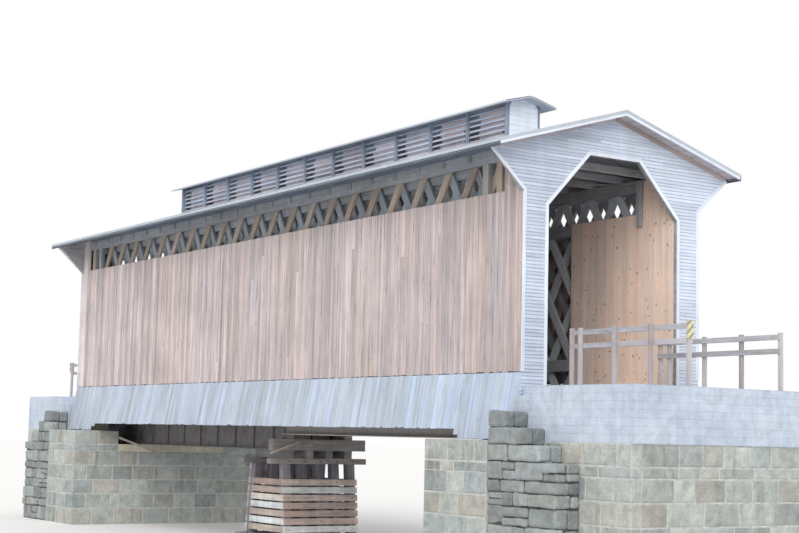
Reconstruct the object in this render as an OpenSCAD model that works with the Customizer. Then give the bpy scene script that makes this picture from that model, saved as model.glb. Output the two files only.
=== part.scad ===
// Timber covered bridge: two double lattice trusses under a gable roof with a smoke cupola,
// carried on steel girders between two stone abutments and a timber pier.
// +X runs along the bridge, +Y across it, +Z up. The origin is under the middle, on the ground.
// Heights inside the modules are measured from the foot of the side boarding.

/* [Bridge body] */
// Length over the two portals
bridge_len = 30500; // [26000:500:31000]
// Width over the side boarding
body_w = 6400; // [5800:100:7200]
// Height of the foot of the side boarding above the ground
siding_z = 5600; // [5200:100:7000]
// Height of the side boarding below the open strip
siding_h = 4900; // [4300:50:5000]
// Thickness of the side boarding with its battens
siding_t = 60; // [40:5:80]
// Length of the boarded panel beside each portal that reaches the eaves
end_panel = 850; // [500:50:1300]
// Thickness of the portal walls
portal_t = 120; // [80:10:160]

/* [Lattice trusses] */
// Number of lattice bays along the bridge
lattice_bays = 24; // [20:1:28]
// Number of half-diamond rows between the lowest and the highest chord
lattice_rows = 6; // [5:1:7]
// Height of the centre of the lowest chord
chord_low = -525; // [-540:5:-500]
// Height of the centre of the highest chord
chord_high = 5720; // [5600:10:5740]
// Depth of each chord
chord_h = 350; // [280:10:360]
// Thickness of each chord line
chord_t = 150; // [120:10:170]
// Thickness of each lattice web, which is two layers of plank
web_t = 160; // [120:10:180]
// Width of a lattice plank
plank_w = 270; // [200:10:320]
// How far the crossings of the inner webs lie beside those of the outer webs
web_shift = 290; // [0:10:600]
// Length along the bridge of the posts at the truss ends
end_post_w = 250; // [150:10:350]
// Thickness of the boards that line the trusses at the portals
lining_t = 30; // [20:5:40]
// Length of the lining behind each portal
lining_len = 4660; // [2000:20:6000]
// Height of the top of the long part of the lining
lining_h = 4870; // [4000:10:5200]
// Length of the lining that reaches the tie beams
lining_tall = 1400; // [800:100:1800]
// Side of the hangers at the ends of the tall lining
hanger_w = 150; // [100:10:200]
// How far the hangers reach below the top of the long lining
hanger_drop = 380; // [200:10:380]
// Height of the foot of the chord line that closes the eaves
eaves_chord_z = 5755; // [5650:5:5800]

/* [Floor] */
// Depth of the cross beams of the floor
floor_beam_h = 300; // [200:10:400]
// Width of the cross beams of the floor
floor_beam_w = 250; // [150:10:350]
// Depth of the stringers
stringer_h = 300; // [200:10:320]
// Width of the stringers
stringer_w = 200; // [120:10:300]
// Number of stringers
stringers = 5; // [3:1:7]
// Thickness of the floor planks
deck_t = 70; // [40:5:100]
// Clearance between the floor planks and the trusses
deck_gap = 20; // [10:5:40]

/* [Skirt] */
// Drop of the skirt below the side boarding, between the abutments
skirt_h = 1540; // [1200:20:1600]
// Gap between the foot of the skirt and the cheeks of the abutments
skirt_gap = 20; // [10:5:60]
// How far the foot of the middle of the skirt stands out from the side boarding
skirt_flare = 280; // [200:20:400]
// Thickness of the skirt boards
skirt_t = 45; // [30:5:60]
// Distance from the middle of the bridge to the skirt's step
skirt_step_x = 12850; // [10000:50:12900]

/* [Portals] */
// Height where the sides of the opening turn inward
door_side_h = 4500; // [4000:50:4600]
// Height of the head of the opening
door_head_h = 6030; // [5800:10:6050]
// Width of the head of the opening
door_head_w = 1800; // [1200:50:2400]
// Height where the portal wall starts to flare out to the eaves
flare_z = 4830; // [4600:10:5000]
// Distance from the eaves edge to the tip of the flare
flare_in = 90; // [80:5:150]
// Drop of the portal wall below the side boarding
portal_drop = 600; // [400:20:650]
// Width of the trim boards
trim_w = 100; // [80:10:180]
// Thickness of the trim boards
trim_t = 30; // [20:5:40]
// Depth of the barge boards under the roof's ends
barge_h = 75; // [60:5:140]

/* [Roof] */
// Slope of the roof in degrees
roof_pitch = 16.7; // [12:0.1:22]
// Width over the eaves
roof_w = 8820; // [8600:20:9200]
// How far the roof stands out over the portals
gable_overhang = 510; // [400:10:700]
// Thickness of the roof boards and sheets
roof_t = 60; // [40:5:80]
// Depth of the rafters
rafter_h = 70; // [50:5:160]
// Thickness of the rafters
rafter_w = 80; // [50:5:120]
// Depth of the tie beams
tie_h = 200; // [150:5:210]
// Width of the tie beams
tie_w = 200; // [120:10:250]
// Width of the wall plates
plate_w = 200; // [120:10:250]
// Height of the wall plates at their outer face
plate_h = 136; // [50:1:150]
// Thickness of the eaves and barge boards
fascia_t = 50; // [30:5:60]
// Thickness of the soffit boards
soffit_t = 25; // [20:5:40]
// Thickness of the ridge boards
ridge_board_t = 50; // [40:5:80]
// Thickness of the lateral brace planks
brace_t = 50; // [40:5:70]
// Width of the lateral brace planks
brace_w = 250; // [150:10:300]
// Lattice bays that one pair of lateral braces crosses
brace_bays = 4; // [2:1:6]

/* [Cupola] */
// Length of the cupola over its gables
cupola_len = 22200; // [20000:200:24000]
// Width of the cupola over its posts
cupola_w = 1264; // [1100:20:1500]
// Drop of the top of the cupola sills below the ridge of the main roof
cupola_sill_drop = 40; // [20:5:60]
// Height of the cupola's ridge above the ridge of the main roof
cupola_h = 1153; // [1000:10:1400]
// Fall of the cupola roof from its ridge to its edge
cupola_fall = 250; // [200:10:350]
// Width over the cupola roof
cupola_roof_w = 1904; // [1700:20:2200]
// How far the cupola roof stands out over its gables
cupola_overhang = 387; // [200:10:500]
// Thickness of the cupola roof
cupola_roof_t = 50; // [40:5:70]
// Number of bays between the cupola posts
cupola_bays = 11; // [8:1:14]
// Side of the cupola's corner posts
cupola_post = 100; // [80:5:120]
// Width of the posts between the corners
cupola_stud = 60; // [50:5:100]
// Number of louver boards on each side
louvers = 6; // [4:1:7]
// Width of a louver board
louver_w = 130; // [100:5:180]
// Thickness of a louver board
louver_t = 20; // [15:5:30]
// Slope of the louver boards in degrees
louver_tilt = 35; // [20:5:50]
// Thickness of the cupola's gable walls
cupola_gable_t = 80; // [50:5:100]

/* [Girders] */
// Bottom of the deep girders of the left span
left_girder_z = -2350; // [-2370:10:-2300]
// Bottom of the shallow girders of the right span
right_girder_z = -1800; // [-1900:10:-1700]
// Distance of each girder from the middle line
girder_y = 1200; // [1000:50:1400]
// Width of the girder flanges
flange_w = 400; // [300:10:450]
// Thickness of the girder flanges
flange_t = 40; // [25:5:50]
// Thickness of the girder webs
girder_web_t = 30; // [20:5:40]
// Distance from the middle of the bridge to the girders' outer ends
girder_end_x = 14600; // [13500:50:14700]
// Distance between the stiffeners of the deep girders
stiffener_gap = 1450; // [1000:10:1800]
// Thickness of the stiffeners
stiffener_t = 25; // [15:5:30]
// Width over the two stiffeners on the sides of a web
stiffener_w = 160; // [100:10:300]

/* [Pier] */
// Place of the pier's middle along the bridge
pier_x = -1500; // [-1700:50:-1300]
// Distance from the pier's middle to its bents at the caps
pier_half = 1000; // [900:50:1100]
// How far the foot of each bent stands out from its cap
pier_batter = 250; // [100:10:350]
// Half the width of the pier over its posts
pier_half_w = 1470; // [1400:10:1600]
// Side of the pier timbers
pier_timber = 300; // [240:10:320]
// Number of posts in each bent
bent_posts = 5; // [4:1:6]
// Overhang of the caps past the outer posts
cap_overhang = 490; // [300:10:600]
// Depth of the lower caps
lower_cap_h = 200; // [150:10:250]
// Depth of the blocking between the lower and the upper cap
blocking_h = 270; // [200:10:300]
// Depth of the upper cap
upper_cap_h = 400; // [300:10:420]
// Depth of the open band above the slats
open_band = 530; // [400:10:700]
// Number of slats down each face
slats = 7; // [5:1:8]
// Gap between slats
slat_gap = 55; // [30:5:80]
// Thickness of the slats
slat_t = 50; // [30:5:60]
// Lap of the side slats on the posts of the left bent
slat_lap = 80; // [50:10:150]
// Depth of the sills
pier_sill_h = 300; // [200:10:350]
// Gap between the two spans' girders over the pier
girder_gap = 100; // [60:10:160]

/* [Abutments] */
// Distance from the middle of the bridge to the river faces
abutment_x = 12500; // [12000:50:12700]
// Length along the bridge of the squared stonework
abutment_t = 2800; // [2750:10:3000]
// Height of the cheeks beside the bearing seat
cheek_z = -1820; // [-1900:10:-1810]
// Width of the bearing seat
seat_w = 4820; // [4400:20:5000]
// Depth of the bearing block under the left girders
bearing_h = 300; // [200:10:350]
// Length along the bridge of the bearing blocks
bearing_l = 900; // [600:50:1200]
// Distance from the middle of the bridge to the end of the approaches
approach_x = 19950; // [19900:10:19980]
// Width over the concrete wing walls
wing_w = 7000; // [6900:50:8000]
// Thickness of the concrete wing walls
wing_t = 350; // [250:10:450]
// Height of the approach surface
approach_z = -400; // [-450:10:-350]
// Height of the low end of the wing walls
wing_low_z = -750; // [-900:10:-600]
// Length of the sloping top of the wing walls
wing_slope = 1550; // [1000:50:2500]
// Thickness of the rubble walls, which stand flush with the squared stonework
rubble_t = 800; // [300:10:900]
// Length of each step of the rubble walls
rubble_step = 700; // [500:20:800]
// Fall of each step of the rubble walls
rubble_fall = 430; // [250:10:600]
// Number of steps of the rubble walls
rubble_steps = 4; // [2:1:5]
// Height of the top of the rubble walls
rubble_z = -1050; // [-1200:10:-900]

/* [Railings] */
// Distance of the railings from the middle line
rail_y = 1600; // [1300:50:1900]
// Height of the railing posts
rail_post_h = 1490; // [1300:10:1600]
// Side of the railing posts
rail_post = 100; // [80:5:120]
// Distance between the railing posts
rail_gap = 1363; // [1100:1:1500]
// Distance from the end of the approach to the last post
rail_end = 50; // [40:5:60]
// Bays of railing on each side
rail_bays = 3; // [2:1:3]
// Distance of the extra post at the portal from the next one
rail_pair = 350; // [250:10:450]
// Depth of the rails
rail_h = 140; // [100:10:180]
// Thickness of the rails
rail_t = 40; // [30:5:50]
// Height of the middle of the upper rail above the approach
rail_high = 1370; // [1250:10:1380]
// Height of the middle of the lower rail above the approach
rail_low = 1010; // [800:10:1050]
// How much higher the front railing stands than the back one
rail_rise = 120; // [0:10:200]
// Width of the marker plate
marker_w = 200; // [150:10:400]
// Height of the marker plate
marker_h = 450; // [300:10:700]
// Thickness of the marker plate
marker_t = 4; // [3:1:6]

/* [Hidden] */

half_len = bridge_len / 2;
wall_end = half_len - portal_t;
truss_end = wall_end - end_post_w;
pitch = bridge_len / lattice_bays;
row_h = (chord_high - chord_low) / lattice_rows;
truss_bottom = chord_low - chord_h / 2;
truss_top = chord_high + chord_h / 2;
truss_out = body_w / 2 - siding_t;
truss_in = truss_out - 3 * chord_t - 2 * web_t;
inner_web_y = truss_in + chord_t;
middle_chord_y = inner_web_y + web_t;
outer_web_y = middle_chord_y + chord_t;
outer_chord_y = outer_web_y + web_t;
door_half = truss_in - lining_t;
stringer_top = truss_bottom + stringer_h;
floor_beam_z = truss_bottom - floor_beam_h;
eave_y = roof_w / 2;
roof_slope = tan(roof_pitch);
slant = 1 / cos(roof_pitch);
ridge_z = truss_top + tie_h + plate_h + (rafter_h + roof_t) * slant + roof_slope * truss_out;
roof_end = half_len + gable_overhang;
header_w = cupola_post;
pier_cap_z = left_girder_z - blocking_h;
post_top_z = pier_cap_z - lower_cap_h;
slat_top_z = post_top_z - open_band;
slat_foot_z = pier_sill_h - siding_z;
slat_pitch = (slat_top_z - slat_foot_z) / slats;
cap_half = pier_half_w + cap_overhang;
front_bent_x = pier_x + pier_half;
girder_split_x = front_bent_x - pier_timber / 2 - girder_gap / 2;
seat_z = left_girder_z - bearing_h;
stone_end = abutment_x + abutment_t;
abutment_w = wing_w + 2 * rubble_t;
wing_foot_z = cheek_z;
rail_last_x = approach_x - rail_end - rail_post / 2;
cupola_slope = cupola_fall / (cupola_roof_w / 2);
cupola_side_y = cupola_w / 2;
cupola_sill_z = ridge_z - cupola_sill_drop;
cupola_ridge_z = ridge_z + cupola_h;
last_beam_x = floor((wall_end - floor_beam_w) / pitch) * pitch;

// Height of the roof's top surface at a distance from the middle line
function roof_z(y) = ridge_z - roof_slope * abs(y);
// Height of the underside of the roof boards
function board_z(y) = roof_z(y) - roof_t * slant;
// Height of the underside of the rafters
function rafter_z(y) = board_z(y) - rafter_h * slant;
// Height of the underside of the soffit
function soffit_z(y) = rafter_z(y) - soffit_t * slant;
// Height of the underside of the cupola roof
function cupola_under_z(y) = cupola_ridge_z - cupola_slope * abs(y)
    - cupola_roof_t * sqrt(1 + cupola_slope * cupola_slope);
// Distance of the skirt's outer face from the middle line, at a height below the boarding
function skirt_y(z) = body_w / 2 - skirt_flare * z / skirt_h;
// Distance of the battered bents from the pier's middle, at a height
function bent_x(z) = pier_half + pier_batter * (post_top_z - z) / (post_top_z - slat_foot_z);
// Mirrored list of outline points, in reverse order, so that both halves join in one outline
function mirrored(points) = [for (i = [len(points) - 1:-1:0]) [-points[i][0], points[i][1]]];

// Raises its children from the foot of the side boarding to their place above the ground
module lifted() {
    translate([0, 0, siding_z]) children();
}

// Block between two opposite corners
module block(low, high) {
    translate(low) cube(high - low);
}

// Outline of across and up values, drawn out along the bridge
module along(x0, x1, points) {
    translate([x0, 0, 0]) rotate([90, 0, 90]) linear_extrude(x1 - x0) polygon(points);
}

// Outline of along and up values, drawn out across the bridge
module across(y0, y1, points) {
    translate([0, y1, 0]) rotate([90, 0, 0]) linear_extrude(y1 - y0) polygon(points);
}

// Shape and its copy on the other side of the bridge
module both_sides() {
    children();
    mirror([0, 1, 0]) children();
}

// Shape and its copy at the other end of the bridge
module both_ends() {
    children();
    mirror([1, 0, 0]) children();
}

// Squared stonework with a lower seat between two cheeks, and the mass behind it
module abutment() {
    lifted() {
        along(abutment_x, stone_end, concat(
            [[seat_w / 2, seat_z], [seat_w / 2, cheek_z], [abutment_w / 2, cheek_z],
             [abutment_w / 2, -siding_z]],
            mirrored([[seat_w / 2, seat_z], [seat_w / 2, cheek_z], [abutment_w / 2, cheek_z],
             [abutment_w / 2, -siding_z]])));
        block([stone_end, -wing_w / 2, -siding_z], [approach_x, wing_w / 2, wing_foot_z]);
    }
}

module left_abutment() {
    color("#9a9d94") mirror([1, 0, 0]) abutment();
}

module right_abutment() {
    color("#9a9d94") abutment();
}

// Concrete back wall and wings round the filled approach
module wing_walls() {
    lifted() {
        block([stone_end, -wing_w / 2 + wing_t, wing_foot_z],
              [approach_x, wing_w / 2 - wing_t, approach_z]);
        both_sides() across(wing_w / 2 - wing_t, wing_w / 2, [
            [stone_end, wing_foot_z], [stone_end, wing_low_z],
            [stone_end + wing_slope, approach_z], [approach_x, approach_z],
            [approach_x, wing_foot_z]]);
    }
}

module left_wing_walls() {
    color("#b9bcb8") mirror([1, 0, 0]) wing_walls();
}

module right_wing_walls() {
    color("#b9bcb8") wing_walls();
}

// Dry rubble walls that step down beside the approaches
module rubble_walls() {
    color("#8f9187") both_ends() both_sides() lifted()
        across(wing_w / 2, abutment_w / 2, concat(
            [[stone_end, -siding_z]],
            [for (i = [0:rubble_steps - 1]) each [
                [stone_end + i * rubble_step, rubble_z - i * rubble_fall],
                [stone_end + (i + 1) * rubble_step, rubble_z - i * rubble_fall]]],
            [[stone_end + rubble_steps * rubble_step, -siding_z]]));
}

// Bearing block across the seat, and the cribs under the last cross beam
module bearing_set(top_z) {
    block([abutment_x, -seat_w / 2, seat_z], [abutment_x + bearing_l, seat_w / 2, left_girder_z]);
    if (top_z > left_girder_z)
        both_sides() block([abutment_x, girder_y - flange_w / 2, left_girder_z],
            [abutment_x + bearing_l, girder_y + flange_w / 2, top_z]);
    both_sides() block([last_beam_x - bearing_l / 2, seat_w / 2, cheek_z],
        [last_beam_x + bearing_l / 2, truss_out, floor_beam_z]);
}

module bearings() {
    color("#c8b491") lifted() {
        mirror([1, 0, 0]) bearing_set(left_girder_z);
        bearing_set(right_girder_z);
    }
}

// Place of each post across a bent
function post_y(i) = -pier_half_w + pier_timber / 2
    + i * (2 * pier_half_w - pier_timber) / (bent_posts - 1);

module pier_sills() {
    color("#7d7468") lifted() for (s = [-1, 1])
        block([pier_x + s * bent_x(slat_foot_z) - pier_timber / 2, -cap_half, -siding_z],
              [pier_x + s * bent_x(slat_foot_z) + pier_timber / 2, cap_half, slat_foot_z]);
}

module pier_posts() {
    color("#8b8890") lifted() for (s = [-1, 1]) for (i = [0:bent_posts - 1])
        across(post_y(i) - pier_timber / 2, post_y(i) + pier_timber / 2, [
            [pier_x + s * bent_x(slat_foot_z) - pier_timber / 2, slat_foot_z],
            [pier_x + s * bent_x(slat_foot_z) + pier_timber / 2, slat_foot_z],
            [pier_x + s * bent_x(post_top_z) + pier_timber / 2, post_top_z],
            [pier_x + s * bent_x(post_top_z) - pier_timber / 2, post_top_z]]);
}

// Height of a slat's upper edge
function slat_z(i) = slat_top_z - i * slat_pitch;
// Distance of a bent's outer or inner face from the pier's middle, at a height
function bent_face(z, side) = bent_x(z) + side * pier_timber / 2;

// Slat across the outer face of one bent, out to the corners of the side slats
module end_slat(side, foot, top) {
    reach = pier_half_w + slat_t;
    across(-reach, reach, [
        [pier_x + side * bent_face(foot, 1), foot],
        [pier_x + side * bent_face(top, 1), top],
        [pier_x + side * (bent_face(top, 1) + slat_t), top],
        [pier_x + side * (bent_face(foot, 1) + slat_t), foot]]);
}

// Slats on four faces. The left face is closed up to the caps, the others stay open above
module pier_slats() {
    slat_h = slat_pitch - slat_gap;
    slats_above = ceil((open_band - slat_gap * 1.5) / slat_pitch);
    color("#9b7f6d") lifted() for (i = [0:slats - 1]) {
        top = slat_z(i);
        foot = slat_z(i) - slat_h;
        for (s = [-1, 1]) end_slat(s, foot, top);
        both_sides() across(pier_half_w, pier_half_w + slat_t, [
            [pier_x - bent_face(foot, -1) - slat_lap, foot], [pier_x + bent_face(foot, 1), foot],
            [pier_x + bent_face(top, 1), top], [pier_x - bent_face(top, -1) - slat_lap, top]]);
    }
    color("#9b7f6d") lifted() for (i = [1:slats_above]) {
        foot = slat_z(-i) - slat_h;
        end_slat(-1, foot, min(slat_z(-i), post_top_z));
    }
}

module pier_caps() {
    color("#6f6a66") lifted() {
        for (s = [-1, 1])
            block([pier_x + s * pier_half - pier_timber / 2, -cap_half, post_top_z],
                  [pier_x + s * pier_half + pier_timber / 2, cap_half, pier_cap_z]);
        for (y = [-girder_y, -girder_y / 3, girder_y / 3, girder_y])
            block([pier_x - pier_half - pier_timber / 2, y - pier_timber / 2, pier_cap_z],
                  [pier_x + pier_half + pier_timber / 2, y + pier_timber / 2, left_girder_z]);
        block([front_bent_x - pier_timber / 2, -cap_half + slat_t, left_girder_z],
              [front_bent_x + pier_timber / 2, cap_half - slat_t, left_girder_z + upper_cap_h]);
        both_sides()
            block([front_bent_x - pier_timber / 2, girder_y - pier_timber / 2,
                   left_girder_z + upper_cap_h],
                  [front_bent_x + pier_timber / 2, girder_y + pier_timber / 2, right_girder_z]);
    }
}

// I-shaped girder between two places along the bridge
module girder(x0, x1, bottom) {
    web = girder_web_t / 2;
    flange = flange_w / 2;
    translate([0, girder_y, 0]) along(x0, x1, concat(
        [[flange, bottom], [flange, bottom + flange_t], [web, bottom + flange_t],
         [web, floor_beam_z - flange_t], [flange, floor_beam_z - flange_t],
         [flange, floor_beam_z]],
        mirrored([[flange, bottom], [flange, bottom + flange_t], [web, bottom + flange_t],
         [web, floor_beam_z - flange_t], [flange, floor_beam_z - flange_t],
         [flange, floor_beam_z]])));
}

module left_girders() {
    color("#5d5451") both_sides() lifted() {
        girder(-girder_end_x, girder_split_x - girder_gap / 2, left_girder_z);
        for (x = [-girder_end_x + stiffener_t:stiffener_gap:girder_split_x - stiffener_gap / 3])
            block([x, girder_y - stiffener_w / 2, left_girder_z + flange_t],
                  [x + stiffener_t, girder_y + stiffener_w / 2, floor_beam_z - flange_t]);
    }
}

module right_girders() {
    color("#5d5451") both_sides() lifted()
        girder(girder_split_x + girder_gap / 2, girder_end_x, right_girder_z);
}

// Cross beams under the trusses, with ends cut to carry the skirt
module floor_beams() {
    count = round(last_beam_x / pitch);
    top = skirt_y(truss_bottom) - skirt_t;
    foot = skirt_y(floor_beam_z) - skirt_t;
    color("#6b625a") lifted() for (i = [-count:count])
        along(i * pitch - floor_beam_w / 2, i * pitch + floor_beam_w / 2, [
            [-top, truss_bottom], [top, truss_bottom],
            [foot, floor_beam_z], [-foot, floor_beam_z]]);
}

module deck_stringers() {
    reach = door_half - stringer_w;
    color("#6b625a") lifted() for (i = [0:stringers - 1]) {
        y = -reach + i * 2 * reach / (stringers - 1);
        block([-half_len, y - stringer_w / 2, truss_bottom],
              [half_len, y + stringer_w / 2, stringer_top]);
    }
}

module deck_planks() {
    color("#8a7d6e") lifted()
        block([-half_len, -door_half + deck_gap, stringer_top],
              [half_len, door_half - deck_gap, stringer_top + deck_t]);
}

// The three lines of one chord level: inside, between and outside the webs
module chord_lines(centre_z) {
    for (y = [truss_in, middle_chord_y, outer_chord_y])
        block([-truss_end, y, centre_z - chord_h / 2],
              [truss_end, y + chord_t, centre_z + chord_h / 2]);
}

module bottom_chords() {
    lifted() {
        chord_lines(chord_low);
        chord_lines(chord_low + row_h);
    }
}

// The highest level has its outer line raised, so that it closes the eaves beside the tie beams
module top_chords() {
    lifted() {
        for (y = [truss_in, middle_chord_y])
            block([-truss_end, y, chord_high - chord_h / 2], [truss_end, y + chord_t, truss_top]);
        block([-truss_end, outer_chord_y, eaves_chord_z],
              [truss_end, truss_out, truss_top + tie_h]);
        chord_lines(chord_high - row_h);
    }
}

module back_bottom_chords() {
    color("#75695c") bottom_chords();
}

module front_bottom_chords() {
    color("#75695c") mirror([0, 1, 0]) bottom_chords();
}

module back_top_chords() {
    color("#75695c") top_chords();
}

module front_top_chords() {
    color("#75695c") mirror([0, 1, 0]) top_chords();
}

// One layer of parallel planks. lean is 1 where they rise towards +X and -1 where they fall
module plank_layer(y0, y1, lean, shift) {
    half_plank = plank_w * sqrt(row_h * row_h + pitch * pitch / 4) / row_h / 2;
    run = (truss_top - truss_bottom) * pitch / 2 / row_h;
    foot_shift = (chord_low - truss_bottom) * pitch / 2 / row_h;
    reach = ceil((truss_end + run) / pitch);
    for (i = [-reach:reach]) {
        foot = (i + 0.5 * (lattice_rows % 2)) * pitch - foot_shift + lean * shift;
        if (foot + run > -truss_end && foot < truss_end)
            intersection() {
                across(y0, y1, [
                    [lean * (foot - half_plank), truss_bottom],
                    [lean * (foot + half_plank), truss_bottom],
                    [lean * (foot + run + half_plank), truss_top],
                    [lean * (foot + run - half_plank), truss_top]]);
                block([-truss_end, y0, truss_bottom], [truss_end, y1, truss_top]);
            }
    }
}

// Lattice web of two plank layers fused where they cross, moved along the bridge by the shift
module lattice_web(y0, shift) {
    lifted() {
        plank_layer(y0, y0 + web_t / 2, -1, shift);
        plank_layer(y0 + web_t / 2, y0 + web_t, 1, shift);
    }
}

module back_inner_lattice() {
    color("#82776a") lattice_web(inner_web_y, -web_shift);
}

module back_outer_lattice() {
    color("#82776a") lattice_web(outer_web_y, 0);
}

module front_inner_lattice() {
    color("#82776a") mirror([0, 1, 0]) lattice_web(inner_web_y, web_shift);
}

module front_outer_lattice() {
    color("#82776a") mirror([0, 1, 0]) lattice_web(outer_web_y, 0);
}

// Posts that close the trusses, and short posts between the two highest chords
module truss_end_posts() {
    short_foot = chord_high - row_h + chord_h / 2;
    color("#7b7064") both_ends() both_sides() lifted() {
        block([truss_end, truss_in, truss_bottom], [wall_end, truss_out, truss_top]);
        for (x = [half_len - 1.5 * pitch, half_len - pitch])
            block([x, outer_chord_y, short_foot], [x + end_post_w, truss_out, eaves_chord_z]);
    }
}

// Side boarding with an open strip under the eaves and a full panel at each end. It covers the
// edges of the portal walls up to their flare
module siding() {
    panel_x = half_len - end_panel;
    panel_z = soffit_z(body_w / 2);
    points = [[half_len, 0], [half_len, flare_z], [wall_end, flare_z], [wall_end, panel_z],
              [panel_x, panel_z], [panel_x, siding_h]];
    lifted() across(truss_out, body_w / 2, concat(points, mirrored(points)));
}

module back_siding() {
    color("#b39a8a") siding();
}

module front_siding() {
    color("#b39a8a") mirror([0, 1, 0]) siding();
}

// Flared skirt that hides the floor, deeper over the abutments
module skirt() {
    foot = cheek_z + skirt_gap;
    step_in = skirt_step_x - skirt_h - foot;
    lifted() difference() {
        along(-half_len, half_len, [
            [skirt_y(0) - skirt_t, 0], [skirt_y(0), 0], [skirt_y(foot), foot],
            [skirt_y(foot) - skirt_t, foot]]);
        across(body_w / 2, skirt_y(foot) + skirt_t, [
            [-skirt_step_x, foot - skirt_t], [-skirt_step_x, foot], [-step_in, -skirt_h],
            [step_in, -skirt_h], [skirt_step_x, foot], [skirt_step_x, foot - skirt_t]]);
    }
}

module back_skirt() {
    color("#a4a8b0") skirt();
}

module front_skirt() {
    color("#a4a8b0") mirror([0, 1, 0]) skirt();
}

// Outline of one half of a portal wall, from the foot of the opening round to its head
portal_half = [
    [door_head_w / 2, door_head_h], [door_half, door_side_h], [door_half, -portal_drop],
    [skirt_y(-portal_drop) - skirt_t, -portal_drop], [skirt_y(0) - skirt_t, 0],
    [truss_out, 0], [truss_out, flare_z], [body_w / 2, flare_z],
    [eave_y - flare_in, board_z(eave_y - flare_in)], [0, board_z(0)]];

module portal() {
    lifted() both_sides() along(wall_end, half_len, concat(portal_half, [[0, door_head_h]]));
}

module left_portal() {
    color("#b4b9c4") mirror([1, 0, 0]) portal();
}

module right_portal() {
    color("#b4b9c4") portal();
}

// Casing round the opening, corner and flare boards, barge boards and the soffit behind them
module portal_trim() {
    face = half_len + trim_t;
    flare_tip = eave_y - flare_in;
    door_cut = door_head_w / 2 + trim_w / 2;
    color("#d5d8dc") both_ends() lifted() {
        along(half_len, face, concat(
            [[door_head_w / 2, door_head_h], [door_half, door_side_h],
             [door_half, -portal_drop], [door_half + trim_w, -portal_drop],
             [door_half + trim_w, door_side_h + trim_w / 3], [door_cut, door_head_h + trim_w]],
            mirrored([[door_head_w / 2, door_head_h], [door_half, door_side_h],
             [door_half, -portal_drop], [door_half + trim_w, -portal_drop],
             [door_half + trim_w, door_side_h + trim_w / 3], [door_cut, door_head_h + trim_w]])));
        both_sides() {
            along(half_len, face, [
                [body_w / 2 - trim_w, 0], [body_w / 2, 0], [body_w / 2, flare_z],
                [flare_tip, board_z(flare_tip) - trim_w],
                [flare_tip - trim_w, board_z(flare_tip - trim_w) - trim_w],
                [body_w / 2 - trim_w, flare_z + trim_w / 3]]);
            along(roof_end - fascia_t, roof_end, [
                [0, board_z(0)], [eave_y - fascia_t, board_z(eave_y - fascia_t)],
                [eave_y - fascia_t, board_z(eave_y - fascia_t) - barge_h],
                [0, board_z(0) - barge_h]]);
            along(half_len, roof_end - fascia_t, [
                [0, board_z(0)], [eave_y - fascia_t, board_z(eave_y - fascia_t)],
                [eave_y - fascia_t, board_z(eave_y - fascia_t) - soffit_t],
                [0, board_z(0) - soffit_t]]);
        }
    }
}

// Boards that line the trusses behind the portals
module portal_linings() {
    deck_z = stringer_top + deck_t;
    color("#b8906c") both_ends() both_sides() lifted()
        across(door_half, truss_in, [
            [half_len - portal_t, deck_z], [half_len - portal_t, truss_top - brace_t],
            [half_len - lining_tall, truss_top - brace_t], [half_len - lining_tall, lining_h],
            [half_len - lining_len, lining_h], [half_len - lining_len, deck_z]]);
}

module tie_beams() {
    count = floor(truss_end / pitch);
    color("#6f6459") lifted() for (i = [-count:count])
        block([i * pitch - tie_w / 2, -outer_chord_y, truss_top],
              [i * pitch + tie_w / 2, outer_chord_y, truss_top + tie_h]);
}

// Crossed planks under the tie beams, and hangers at the portals
module lateral_braces() {
    run = brace_bays * pitch;
    count = floor(2 * truss_end / run);
    reach = truss_in - brace_t;
    angle = atan2(2 * reach, run);
    skew = brace_w / 2 / sin(angle);
    color("#6f6459") lifted() {
        for (i = [0:count - 1]) for (s = [-1, 1])
            translate([-count * run / 2 + i * run, 0, truss_top - brace_t]) linear_extrude(brace_t)
                polygon([
                    [skew / 2, -s * reach], [skew * 1.5, -s * reach],
                    [run - skew / 2, s * reach], [run - skew * 1.5, s * reach]]);
        both_ends() both_sides()
            block([half_len - lining_tall - hanger_w, door_half - hanger_w, lining_h - hanger_drop],
                  [half_len - lining_tall, door_half, truss_top - brace_t]);
    }
}

// Bevelled plates on the tie beams under the rafters
module wall_plates() {
    foot = truss_top + tie_h;
    color("#6f6459") lifted() both_sides() along(-wall_end, wall_end, [
        [truss_out - plate_w, foot], [truss_out, foot],
        [truss_out, rafter_z(truss_out)], [truss_out - plate_w, rafter_z(truss_out - plate_w)]]);
}

module rafters() {
    count = floor((wall_end - rafter_w) / pitch);
    tail_y = eave_y - fascia_t;
    color("#7a6e62") lifted() both_sides() for (i = [-count:count]) {
        head_y = abs(i * pitch) < cupola_len / 2 + rafter_w ? cupola_side_y : ridge_board_t / 2;
        along(i * pitch - rafter_w / 2, i * pitch + rafter_w / 2, [
            [head_y, board_z(head_y)], [tail_y, board_z(tail_y)],
            [tail_y, rafter_z(tail_y)], [head_y, rafter_z(head_y)]]);
    }
}

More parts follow.
